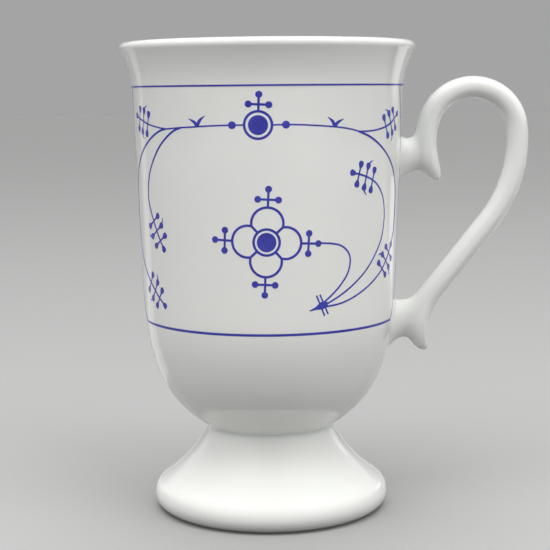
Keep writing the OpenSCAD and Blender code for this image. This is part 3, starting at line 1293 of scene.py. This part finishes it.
def through(points: Sequence[Point], step: float = 0.4) -> np.ndarray:
    """Draws a smooth curve through points.

    Args:
        points: Points that the curve passes.
        step: Distance between the points of the result.

    Returns:
        Points along the curve, as rows.
    """
    known = np.array(points, float)
    padded = np.vstack([2 * known[0] - known[1], known, 2 * known[-1] - known[-2]])
    runs = []
    for a, b, c, d in zip(padded, padded[1:], padded[2:], padded[3:]):
        count = max(2, math.ceil(np.linalg.norm(c - b) / step))
        t = np.linspace(0.0, 1.0, count, endpoint=False)[:, None]
        square, cube = 2 * a - 5 * b + 4 * c - d, 3 * b - a - 3 * c + d
        runs.append(0.5 * (2 * b + (c - a) * t + square * t**2 + cube * t**3))
    return np.vstack([*runs, known[-1:]])


@dataclass
class Panel:
    """Straw-flower panel of the print, drawn flat: millimetres round the wall, and up from the table.

    The wrap radius turns a distance round the wall into an angle.
    """

    top: float = 122.6
    bottom: float = 56.3
    wrap_radius: float = 37.5
    berry_size: Point = (0.95, 1.15)
    pair_reach: float = 2.55
    middle_pair_reach: float = 2.75
    spray_length: float = 5.6
    spray_widths: tuple[float, ...] = (0.28, 0.29, 0.27)
    strokes: list[Stroke] = field(default_factory=list)
    marks: list[Mark] = field(default_factory=list)

    def draw(self) -> None:
        """Draws all parts of the panel."""
        self.frame_lines()
        self.medallion((-2.25, 112.3))
        self.flower((-0.35, 81.4), turn=-2.6)
        self.scrolls()
        self.bouquet()

    def line(self, points: Sequence[Point], pen: Pen, closed: bool = False) -> None:
        """Adds a line of even width."""
        self.strokes.append(Stroke(tuple(points), (pen.value,) * len(points), closed))

    def leaf(self, points: Sequence[Point], widths: Sequence[float]) -> None:
        """Adds a line whose half width changes from point to point."""
        self.strokes.append(Stroke(tuple(points), tuple(widths)))

    def ball(self, place: Point, radius: float, stamp: Stamp = Stamp.BALL) -> None:
        """Adds a round mark."""
        self.marks.append(Mark(place, radius, radius, 0.0, stamp))

    def ring(self, centre: Point, radius: float, pen: Pen) -> None:
        """Adds a circle."""
        points = arc(centre, radius, 0, 360, step=radius / 3)[:-1]
        self.line(points, pen, closed=True)

    def cross(
        self, start: Point, end: Point, arm: float, ball: float = 0.92, crossing: float = 0.43
    ) -> None:
        """Adds a cross with a ball on its head and on both arms.

        Args:
            start: Foot of the stem.
            end: Middle of the head's ball.
            arm: Length of an arm to the middle of its ball.
            ball: Radius of the balls.
            crossing: Share of the stem below the arms.
        """
        foot, head = np.array(start), np.array(end)
        along = (head - foot) / np.linalg.norm(head - foot)
        aside = np.array([-along[1], along[0]])
        middle = foot + (head - foot) * crossing
        tips = [middle + arm * aside, middle - arm * aside]
        self.line([tuple(foot), tuple(head)], Pen.CROSS)
        self.line([tuple(tip) for tip in tips], Pen.CROSS)
        for place in (head, *tips):
            self.ball(tuple(place), ball)

    def spray(self, stem: Sequence[Point], gaps: Sequence[float], pen: Pen = Pen.STEM) -> None:
        """Adds a stem that ends in a berry, with three pairs of berries beside its end.

        Args:
            stem: Points of the stem, the last one under the end berry.
            gaps: Distances of the pairs from the end berry, along the stem.
            pen: Pen of the stem.
        """
        even = len(stem) - len(self.spray_widths)
        self.leaf(stem, [pen.value] * even + [*self.spray_widths])
        path = through(stem)[::-1]
        gone = np.concatenate([[0.0], np.cumsum(np.linalg.norm(np.diff(path, axis=0), axis=1))])

        def place_at(length: float) -> np.ndarray:
            """Returns the place on the stem at a length from the end berry."""
            return np.array([np.interp(length, gone, path[:, axis]) for axis in (0, 1)])

        back = place_at(self.spray_length) - path[0]
        back /= np.linalg.norm(back)
        aside = np.array([-back[1], back[0]])
        self.berry(path[0], -back)
        for number, length in enumerate(gaps):
            root = place_at(length)
            for out in (aside, -aside):
                place = root + (self.middle_pair_reach if number == 1 else self.pair_reach) * out
                self.line([tuple(root), tuple(place)], Pen.FINE)
                self.berry(place, out)
                if number == 1:
                    self.leaflet(place, out, back)

    def berry(self, place: np.ndarray, out: np.ndarray) -> None:
        """Adds a berry that points away from its stalk."""
        turn = math.atan2(-out[0], out[1])
        self.marks.append(Mark(tuple(place), *self.berry_size, turn, Stamp.BERRY))

    def leaflet(self, place: np.ndarray, out: np.ndarray, back: np.ndarray) -> None:
        """Adds a short leaf that leaves a berry outwards and bends back along the stem."""
        bend = place + 1.3 * out + 0.5 * back
        tip = place + 2.0 * out + 1.5 * back
        self.leaf([tuple(place), tuple(bend), tuple(tip)], (0.28, 0.24, 0.09))

    def frame_lines(self) -> None:
        """Draws the panel's bottom line and its two sides, which bow outwards."""
        left, right = (-47.7, self.bottom), (46.9, self.bottom)
        self.line([left, (-24.0, self.bottom), (23.0, self.bottom), right], Pen.FRAME)
        left_side = [(-51.0, 60.5), (-54.5, 67.0), (-56.5, 80.0), (-56.0, 98.0), (-51.6, self.top)]
        self.line([left, *left_side], Pen.FRAME)
        lower_right = [(50.5, 63.0), (53.5, 75.0), (54.5, 95.0)]
        upper_right = [(53.6, 104.0), (51.9, 110.8), (49.6, 115.6), (47.2, self.top)]
        self.line([right, *lower_right, *upper_right], Pen.FRAME)

    def medallion(self, centre: Point) -> None:
        """Draws the ringed disc under the top line, with its cross and its two rails.

        Args:
            centre: Centre of the disc.
        """
        x, z = centre
        disc_radius, ring_radius, ring_edge, dot_radius = 2.58, 3.57, 3.4, 1.04
        self.ring(centre, ring_radius, Pen.OUTLINE)
        self.ball(centre, disc_radius, Stamp.DISC)
        self.cross((x + 0.1, z + ring_edge), (x + 0.3, z + 7.95), arm=2.6)
        left_dot, right_dot = (-9.0, 112.3), (4.9, 112.35)
        left_fork, right_fork = (-18.8, 111.9), (18.2, 111.6)
        left_end, right_end = [(-24.1, 111.6), (-29.5, 111.2)], [(22.6, 111.0), (26.0, 110.25)]
        self.ball(left_dot, dot_radius)
        self.ball(right_dot, dot_radius)
        self.line([(x - ring_edge, z), left_dot, (-15.3, 112.1), left_fork, *left_end], Pen.RAIL)
        self.line([(x + ring_edge, z), right_dot, (10.2, 112.2), right_fork, *right_end], Pen.RAIL)
        for base, tips in (
            (left_fork, ((-21.4, 114.0), (-16.4, 114.75))),
            (right_fork, ((16.1, 114.2), (20.9, 113.65))),
        ):
            for tip in tips:
                middle = (0.68 * base[0] + 0.32 * tip[0], 0.45 * base[1] + 0.55 * tip[1])
                self.leaf([base, middle, tip], (0.5, 0.42, 0.08))

    def flower(self, centre: Point, turn: float) -> None:
        """Draws the flower with its four petals and four crosses.

        Args:
            centre: Centre of the flower.
            turn: Angle by which it is turned anticlockwise, in degrees.
        """
        middle = np.array(centre)
        disc_radius, ring_radius = 2.6, 3.48
        petal, reach, notch, notch_start = 4.27, 5.03, 5.98, 3.5
        cross_start, cross_end = 9.3, 14.15
        corner = notch * toward(45) - (reach, 0.0)
        spread = math.degrees(math.atan2(corner[1], corner[0]))
        self.ball(centre, disc_radius, Stamp.DISC)
        self.ring(centre, ring_radius, Pen.OUTLINE)
        for quarter in range(4):
            heading = 90 * quarter + turn
            out, away = toward(heading), toward(heading + 45)
            spot = tuple(middle + reach * out)
            self.line(arc(spot, petal, heading - spread, heading + spread, step=1.3), Pen.OUTLINE)
            self.line([tuple(middle + notch_start * away), tuple(middle + notch * away)], Pen.OUTLINE)
            self.cross(tuple(middle + cross_start * out), tuple(middle + cross_end * out), arm=2.72)

    def scrolls(self) -> None:
        """Draws the long scrolls with their sprays of berries."""
        left_rail = [(-29.5, 111.2), (-32.4, 111.5), (-37.5, 112.3)]
        left_tip = [(-40.6, 113.1), (-43.3, 113.75), (-45.8, 114.6)]
        self.spray(left_rail + left_tip, (2.3, 5.0, 7.9), Pen.RAIL)
        right_rail = [(26.0, 110.2), (29.7, 110.2), (33.5, 110.5)]
        right_tip = [(37.6, 111.2), (41.5, 112.5), (45.2, 114.5)]
        self.spray(right_rail + right_tip, (2.6, 5.2, 8.2), Pen.RAIL)
        inner_top = [(-24.1, 111.6), (-26.3, 110.9), (-28.9, 109.4), (-32.5, 106.6)]
        inner_mid = [(-35.7, 103.1), (-38.5, 99.1), (-40.0, 95.0), (-40.1, 91.3)]
        inner_low = [(-38.6, 87.5), (-37.3, 85.2), (-35.7, 82.3), (-33.1, 78.5)]
        self.spray(inner_top + inner_mid + inner_low, (2.5, 5.6, 8.6), Pen.SCROLL)
        outer_top = [(-29.8, 111.2), (-32.4, 110.6), (-36.4, 108.8), (-41.0, 106.0), (-45.3, 102.5)]
        outer_mid = [(-49.0, 98.0), (-51.2, 92.0), (-51.6, 84.0), (-50.0, 77.3), (-46.3, 72.2)]
        outer_low = [(-42.6, 68.9), (-39.4, 66.5), (-37.2, 64.8), (-34.0, 62.6)]
        self.spray(outer_top + outer_mid + outer_low, (3.1, 6.2, 9.6), Pen.SCROLL)
        right_top = [(26.0, 110.2), (29.8, 108.9), (33.7, 107.0), (38.1, 104.2), (41.9, 101.1)]
        right_low = [(44.8, 97.6), (46.6, 92.8), (46.9, 87.7), (46.1, 82.0), (44.0, 77.9)]
        self.line(right_top + right_low, Pen.SCROLL)

    def bouquet(self) -> None:
        """Draws the three stems that are tied together at the lower right, two of which end in sprays."""
        inner_top = [(13.8, 80.8), (15.0, 80.8), (17.8, 80.55), (20.8, 79.8), (23.2, 77.9)]
        inner_low = [(24.0, 75.5), (23.3, 72.4), (21.4, 69.7), (18.6, 67.0), (15.7, 64.8)]
        self.line(inner_top + inner_low, Pen.STEM)
        middle_low = [(16.0, 64.0), (19.9, 65.8), (24.8, 68.5), (30.3, 72.4), (34.5, 76.7)]
        middle_top = [(37.4, 80.9), (38.5, 85.6), (38.2, 89.3), (37.2, 92.2), (35.1, 94.8)]
        middle_tip = [(32.2, 96.8), (29.3, 97.95), (26.7, 98.7), (24.4, 99.2)]
        self.spray(middle_low + middle_top + middle_tip, (2.1, 5.0, 7.9))
        outer = [(16.0, 63.5), (21.2, 64.1), (26.7, 65.8), (32.7, 68.5)]
        outer_tip = [(37.8, 71.5), (40.5, 73.9), (42.4, 75.9), (44.0, 77.9)]
        self.spray(outer + outer_tip, (2.4, 5.3, 8.3))
        self.leaf([(11.4, 62.65), (13.4, 63.25), (15.1, 63.9), (16.8, 64.3)], (0.14, 0.45, 1.05, 0.55))
        self.line([(13.4, 66.7), (15.9, 61.0)], Pen.RAIL)
        self.line([(14.4, 66.9), (17.0, 61.4)], Pen.RAIL)


class PrintFilm:
    """Geometry Nodes tree that draws a panel as a thin film and wraps it round the bowl."""

    def __init__(self, rise: float, sink: float, layer_step: float = 0.0004, step: float = 0.45) -> None:
        """Builds the tree.

        Args:
            rise: Height of the lowest film above the wall.
            sink: Depth of the film's underside inside the wall.
            layer_step: Extra height of each later line, so that no two films share a face.
            step: Distance between the points of a line.
        """
        lengths = {"Rise": rise, "Sink": sink, "Layer Step": layer_step, "Step": step}
        self.values = {name: length * MM for name, length in lengths.items()}
        inputs = {
            "Drawing": "NodeSocketGeometry",
            "Bowl": "NodeSocketObject",
            "Finish": "NodeSocketMaterial",
        }
        inputs |= dict.fromkeys(("Wrap Radius", "Turn", *lengths), "NodeSocketFloat")
        outputs = {"Film": "NodeSocketGeometry"}
        bench, given, result = new_tree("Print film", "GeometryNodeTree", inputs, outputs)
        flat = bench.add("GeometryNodeJoinGeometry")
        for part in (self._lines(bench, given), *self._stamps(bench, given)):
            bench.feed(part, flat, "Geometry")
        film = self._wrapped(bench, given, flat.outputs[0])
        sharp_angle = 0.6
        bench.feed(finished(bench, film, sharp_angle, given.outputs["Finish"]), result, "Film")
        self.tree = bench.tree

    @staticmethod
    def _chosen(bench: NodeBench, given: Node, stamp: int) -> NodeSocket:
        """Keeps the part of the drawing that has one stamp number; lines have number 0."""
        numbers = {0: bench.named("stamp"), 1: float(stamp), 2: 0.1}
        same = bench.out("ShaderNodeMath", numbers, operation="COMPARE")
        chosen = {0: given.outputs["Drawing"], "Selection": same}
        return bench.out("GeometryNodeSeparateGeometry", chosen, domain="POINT")

    def _lines(self, bench: NodeBench, given: Node) -> NodeSocket:
        """Turns the drawn lines into flat bars."""
        curves = bench.out("GeometryNodeMeshToCurve", {0: self._chosen(bench, given, 0)})
        curves = bench.out("GeometryNodeCurveSplineType", {0: curves}, spline_type="CATMULL_ROM")
        even = {0: curves, "Length": given.outputs["Step"]}
        curves = bench.out("GeometryNodeResampleCurve", even, mode="LENGTH")
        curves = bench.out("GeometryNodeSetCurveNormal", {0: curves}, mode="Z_UP")
        section = {"Width": 2.0, "Height": 0.2}
        bar = bench.out("GeometryNodeCurvePrimitiveQuadrilateral", section, mode="RECTANGLE")
        half_width = bench.named("half_width")
        bars = {0: curves, "Profile Curve": bar, "Fill Caps": True, "Scale": half_width}
        return bench.out("GeometryNodeCurveToMesh", bars)

    def _stamps(self, bench: NodeBench, given: Node) -> list[NodeSocket]:
        """Puts the filled shapes on their places."""
        parts = []
        for stamp, corners, rings in ((Stamp.BALL, 16, 2), (Stamp.BERRY, 14, 2), (Stamp.DISC, 40, 4)):
            shape = {"Vertices": corners, "Fill Segments": rings, "Radius": 1.0, "Depth": 0.0002}
            solid = bench.out("GeometryNodeMeshCylinder", shape, fill_type="TRIANGLE_FAN")
            if stamp is Stamp.BERRY:
                solid = self._pinched(bench, solid)
            on = {
                0: self._chosen(bench, given, stamp.value),
                "Instance": solid,
                "Rotation": bench.named("turn", "FLOAT_VECTOR"),
                "Scale": bench.named("size", "FLOAT_VECTOR"),
            }
            spread = bench.out("GeometryNodeInstanceOnPoints", on)
            parts.append(bench.out("GeometryNodeRealizeInstances", {0: spread}))
        return parts

    @staticmethod
    def _pinched(bench: NodeBench, solid: NodeSocket) -> NodeSocket:
        """Pinches a round shape towards its stalk, so that it becomes a drop."""
        middle_share, growth = 0.86, 0.42
        x, y, z = bench.place()
        share = bench.math("ADD", bench.math("MULTIPLY", y, growth), middle_share)
        moved = bench.out("ShaderNodeCombineXYZ", {0: bench.math("MULTIPLY", x, share), 1: y, 2: z})
        return bench.out("GeometryNodeSetPosition", {0: solid, "Position": moved})

    @staticmethod
    def _wrapped(bench: NodeBench, given: Node, flat: NodeSocket) -> NodeSocket:
        """Lays the flat film on the bowl: its upper side just above the wall, its underside inside it."""
        reach = 0.1
        x, y, z = bench.place()
        turn = bench.math("DIVIDE", x, given.outputs["Wrap Radius"])
        turn = bench.math("ADD", turn, given.outputs["Turn"])
        sine, cosine = bench.math("SINE", turn), bench.math("COSINE", turn)
        inwards = bench.out("ShaderNodeCombineXYZ", {0: bench.math("MULTIPLY", sine, -1.0), 1: cosine})
        height = bench.out("ShaderNodeCombineXYZ", {2: y})
        wall = bench.add("GeometryNodeObjectInfo", {0: given.outputs["Bowl"]}, transform_space="RELATIVE")
        ray = {
            "Target Geometry": wall.outputs["Geometry"],
            "Source Position": bench.vector_sum(bench.scaled(inwards, -reach), height),
            "Ray Direction": inwards,
            "Ray Length": reach,
        }
        hit = bench.add("GeometryNodeRaycast", ray).outputs
        layer = bench.math("MULTIPLY", bench.named("layer"), given.outputs["Layer Step"])
        above = bench.math("ADD", given.outputs["Rise"], layer)
        below = bench.math("MULTIPLY", given.outputs["Sink"], -1.0)
        is_top = bench.math("GREATER_THAN", z, 0.0)
        lift = bench.out("ShaderNodeMix", {0: is_top, 2: below, 3: above}, data_type="FLOAT")
        on_wall = bench.vector_sum(hit["Hit Position"], bench.scaled(hit["Hit Normal"], lift))
        return bench.out("GeometryNodeSetPosition", {0: flat, "Position": on_wall})

    def lay(self, name: str, panel: Panel, bowl: Object, turn: float, finish: Material) -> None:
        """Lays a panel on the bowl.

        Args:
            name: Name of the piece.
            panel: Drawn panel.
            bowl: The finished bowl.
            turn: Angle round the cup from the front, in degrees.
            finish: Colour of the print.
        """
        drawing = link_piece(name + "_drawing", drawing_mesh(name + "_drawing", panel))
        values = {
            "Bowl": bowl,
            "Finish": finish,
            "Wrap Radius": panel.wrap_radius * MM,
            "Turn": math.radians(turn),
        }
        hand_over(baked(drawing, name, self.tree, values | self.values), Slot.PRINT)


def drawing_mesh(name: str, panel: Panel) -> Mesh:
    """Makes the flat drawing of a panel: edges for its lines and single points for its filled shapes.

    Args:
        name: Name of the mesh.
        panel: Drawn panel.

    Returns:
        The mesh, with the attributes that the film's tree reads.
    """
    points: list[Place] = []
    edges: list[tuple[int, int]] = []
    rows: list[tuple[float, int, int, Place, Place]] = []
    for layer, stroke in enumerate(panel.strokes):
        start = len(points)
        for (x, z), width in zip(stroke.points, stroke.widths):
            points.append((x * MM, z * MM, 0.0))
            rows.append((width * MM, 0, layer, (0.0, 0.0, 0.0), (1.0, 1.0, 1.0)))
        edges.extend((i, i + 1) for i in range(start, len(points) - 1))
        if stroke.closed:
            edges.append((len(points) - 1, start))
    for layer, mark in enumerate(panel.marks, len(panel.strokes)):
        points.append((mark.place[0] * MM, mark.place[1] * MM, 0.0))
        size = (mark.half_width * MM, mark.half_length * MM, 1.0)
        rows.append((0.0, mark.stamp.value, layer, (0.0, 0.0, mark.turn), size))
    mesh = bpy.data.meshes.new(name)
    mesh.from_pydata(points, edges, [])
    for key, column in zip(("half_width", "stamp", "layer", "turn", "size"), zip(*rows)):
        values = np.array(column, float)
        kind, member = ("FLOAT_VECTOR", "vector") if values.ndim > 1 else ("FLOAT", "value")
        mesh.attributes.new(key, kind, "POINT").data.foreach_set(member, values.ravel())
    return mesh


@dataclass
class BluePrint:
    """Cobalt print of the cup: a band under the flare and a panel on each side."""

    bowl: Bowl
    panel: Panel = field(default_factory=Panel)
    turn: float = -0.4
    rise: float = 0.02
    band_rise: float = 0.07
    sink: float = 0.06

    def build(self, turned: TurnedForm, wall: Object, finish: Material) -> None:
        """Draws the panel and lays it on the front and the back of the bowl, under the band.

        Args:
            turned: Tree for turned forms.
            wall: The finished bowl.
            finish: Colour of the print.
        """
        self.panel.draw()
        film = PrintFilm(self.rise, self.sink)
        film.lay("print_front_panel", self.panel, wall, self.turn, finish)
        film.lay("print_back_panel", self.panel, wall, self.turn + 180, finish)
        half = Pen.BAND.value
        low, high = self.panel.top - half, self.panel.top + half
        outside = [self.bowl.flare_point(z, self.band_rise) for z in np.linspace(low, high, 4)]
        inside = [self.bowl.flare_point(z, -self.sink) for z in (high, low)]
        band = turned.turn("print_rim_band", outline(outside, inside, outside[:1]), finish)
        hand_over(band, Slot.PRINT)


# Studio


@dataclass(frozen=True)
class Softbox:
    """Rectangular studio lamp that points at a place on the cup."""

    name: str
    place: Place
    target: Place
    width: float
    height: float
    power: float
    shine: Shine = Shine.SOFT

    def hang(self) -> None:
        """Hangs the lamp, unseen by the camera."""
        lamp = bpy.data.lights.new(self.name, "AREA")
        lamp.shape = "RECTANGLE"
        lamp.size, lamp.size_y = self.width, self.height
        lamp.energy = self.power
        holder = bpy.data.objects.new(self.name, lamp)
        holder.location = self.place
        aim = Vector(self.target) - Vector(self.place)
        holder.rotation_euler = aim.to_track_quat("-Z", "Y").to_euler()
        holder.visible_camera = False
        holder.visible_diffuse = self.shine is Shine.SOFT
        holder.visible_glossy = self.shine is Shine.MIRRORED
        bpy.context.scene.collection.objects.link(holder)


@dataclass
class Studio:
    """Camera, lamps, sky and floor of the picture."""

    camera_place: Place = (0.0, -397.1, 120.4)
    pitch: float = -7.545
    yaw: float = -0.244
    roll: float = -0.489
    focal: float = 89.67
    sky_light: float = 0.10
    zenith_light: float = 3.1
    zenith_edge: Point = (0.82, 0.95)
    back_light: float = 1.3
    back_edge: Point = (0.15, 0.85)
    backdrop: float = 0.3715
    floor_size: float = 16.0
    paint: FloorPaint = FloorPaint()
    lamps: tuple[Softbox, ...] = (
        Softbox("left_softbox", (-0.42, -0.47, 0.97), (0.0, 0.0, 0.07), 0.6, 0.6, 3.7),
        Softbox("right_softbox", (0.42, -0.47, 0.97), (0.0, 0.0, 0.07), 0.6, 0.6, 4.0),
        Softbox("left_fill", (-1.10, -0.49, 0.33), (0.0, 0.0, 0.33), 1.68, 0.33, 5.6),
        Softbox("right_fill", (1.10, -0.49, 0.33), (0.0, 0.0, 0.33), 1.68, 0.33, 6.8),
        Softbox("front_fill", (0.0, -1.30, 0.62), (0.0, 0.0, 0.08), 1.2, 0.5, 3.5),
        Softbox("left_window", (-0.72, 0.0, 1.60), (0.0, 0.0, 1.60), 2.4, 2.8, 7.5, Shine.MIRRORED),
        Softbox("right_window", (0.72, 0.0, 1.60), (0.0, 0.0, 1.60), 2.4, 2.8, 7.5, Shine.MIRRORED),
        Softbox(
            "right_card",
            (0.1912, 0.1698, 0.0704),
            (0.1312, 0.1168, 0.2534),
            0.050,
            0.200,
            0.017,
            Shine.MIRRORED,
        ),
        Softbox(
            "left_card",
            (-0.166, 0.129, 0.058),
            (-0.103, 0.080, 0.241),
            0.050,
            0.262,
            0.012,
            Shine.MIRRORED,
        ),
    )

    def set_up(self) -> None:
        """Sets up the camera, the lamps, the sky and the floor."""
        self._camera()
        for lamp in self.lamps:
            lamp.hang()
        self._sky()
        self._floor()
        bpy.context.scene.view_settings.view_transform = "Standard"

    def _camera(self) -> None:
        """Stands the camera where the photograph was taken from."""
        camera = bpy.data.cameras.new("camera")
        camera.sensor_width = 36.0
        camera.lens = self.focal
        camera.clip_start = 0.01
        stand = bpy.data.objects.new("camera", camera)
        aim = Euler((math.radians(90 + self.pitch), 0.0, math.radians(self.yaw)), "XYZ").to_matrix()
        lean = Matrix.Rotation(math.radians(self.roll), 3, "Z")
        stand.location = Vector(self.camera_place) * MM
        stand.rotation_euler = (aim @ lean).to_euler("XYZ")
        bpy.context.scene.collection.objects.link(stand)
        bpy.context.scene.camera = stand

    def _sky(self) -> None:
        """Makes an overcast sky, brightest overhead and behind the cup.

        Where it is seen or mirrored, it has the tone of the far floor.
        """
        world = bpy.data.worlds.new("studio")
        world.use_nodes = True
        bpy.context.scene.world = world
        bench = NodeBench(world.node_tree)
        world.node_tree.nodes.clear()
        heading = bench.add("ShaderNodeTexCoord").outputs["Generated"]
        ways = bench.add("ShaderNodeSeparateXYZ", {0: heading}).outputs
        overhead = bench.eased(ways["Z"], *self.zenith_edge, self.sky_light, self.zenith_light)
        behind = bench.eased(ways["Y"], *self.back_edge, 0.0, self.back_light)
        strength = bench.math("ADD", overhead, behind)
        tone = (self.backdrop, self.backdrop, self.backdrop, 1.0)
        light = bench.out("ShaderNodeBackground", {"Color": (1.0, 1.0, 1.0, 1.0), "Strength": strength})
        seen = bench.out("ShaderNodeBackground", {"Color": tone, "Strength": 1.0})
        mixed = bench.out("ShaderNodeMixShader", {0: seen_ray(bench), 1: light, 2: seen})
        bench.add("ShaderNodeOutputWorld", {0: mixed})

    def _floor(self) -> None:
        """Lays the floor."""
        half = self.floor_size / MM / 2
        corners = np.array([(-half, -half, 0.0), (half, -half, 0.0), (half, half, 0.0), (-half, half, 0.0)])
        mesh = mesh_from("studio_floor", corners, [(0, 1, 2, 3)])
        mesh.materials.append(self.paint.make())
        link_piece("studio_floor", mesh)


def main() -> None:
    """Builds the cup piece by piece, then the studio round it."""
    logging.basicConfig(level=logging.INFO, format="%(name)s: %(message)s")
    effects = GlazeEffects()
    glaze = GlazedPorcelain().make(effects)
    cobalt = CobaltPrint().make(effects)
    bare = BarePorcelain().make(effects)
    turned = TurnedForm()
    bowl = Bowl()
    foot = Foot(bowl)
    handle = Handle(bowl)
    Studio().set_up()
    wall = bowl.build(turned, glaze, tuple(foot.neck))
    foot.build(turned, glaze, bare)
    handle.build(glaze)
    handle.build_seam("upper_stub_slip_fillet", handle.upper, glaze, "upper_handle_slip_seam")
    handle.build_seam("lower_stub_slip_fillet", handle.lower, glaze, "lower_handle_slip_seam")
    BluePrint(bowl).build(turned, wall, cobalt)


if __name__ == "__main__":
    main()
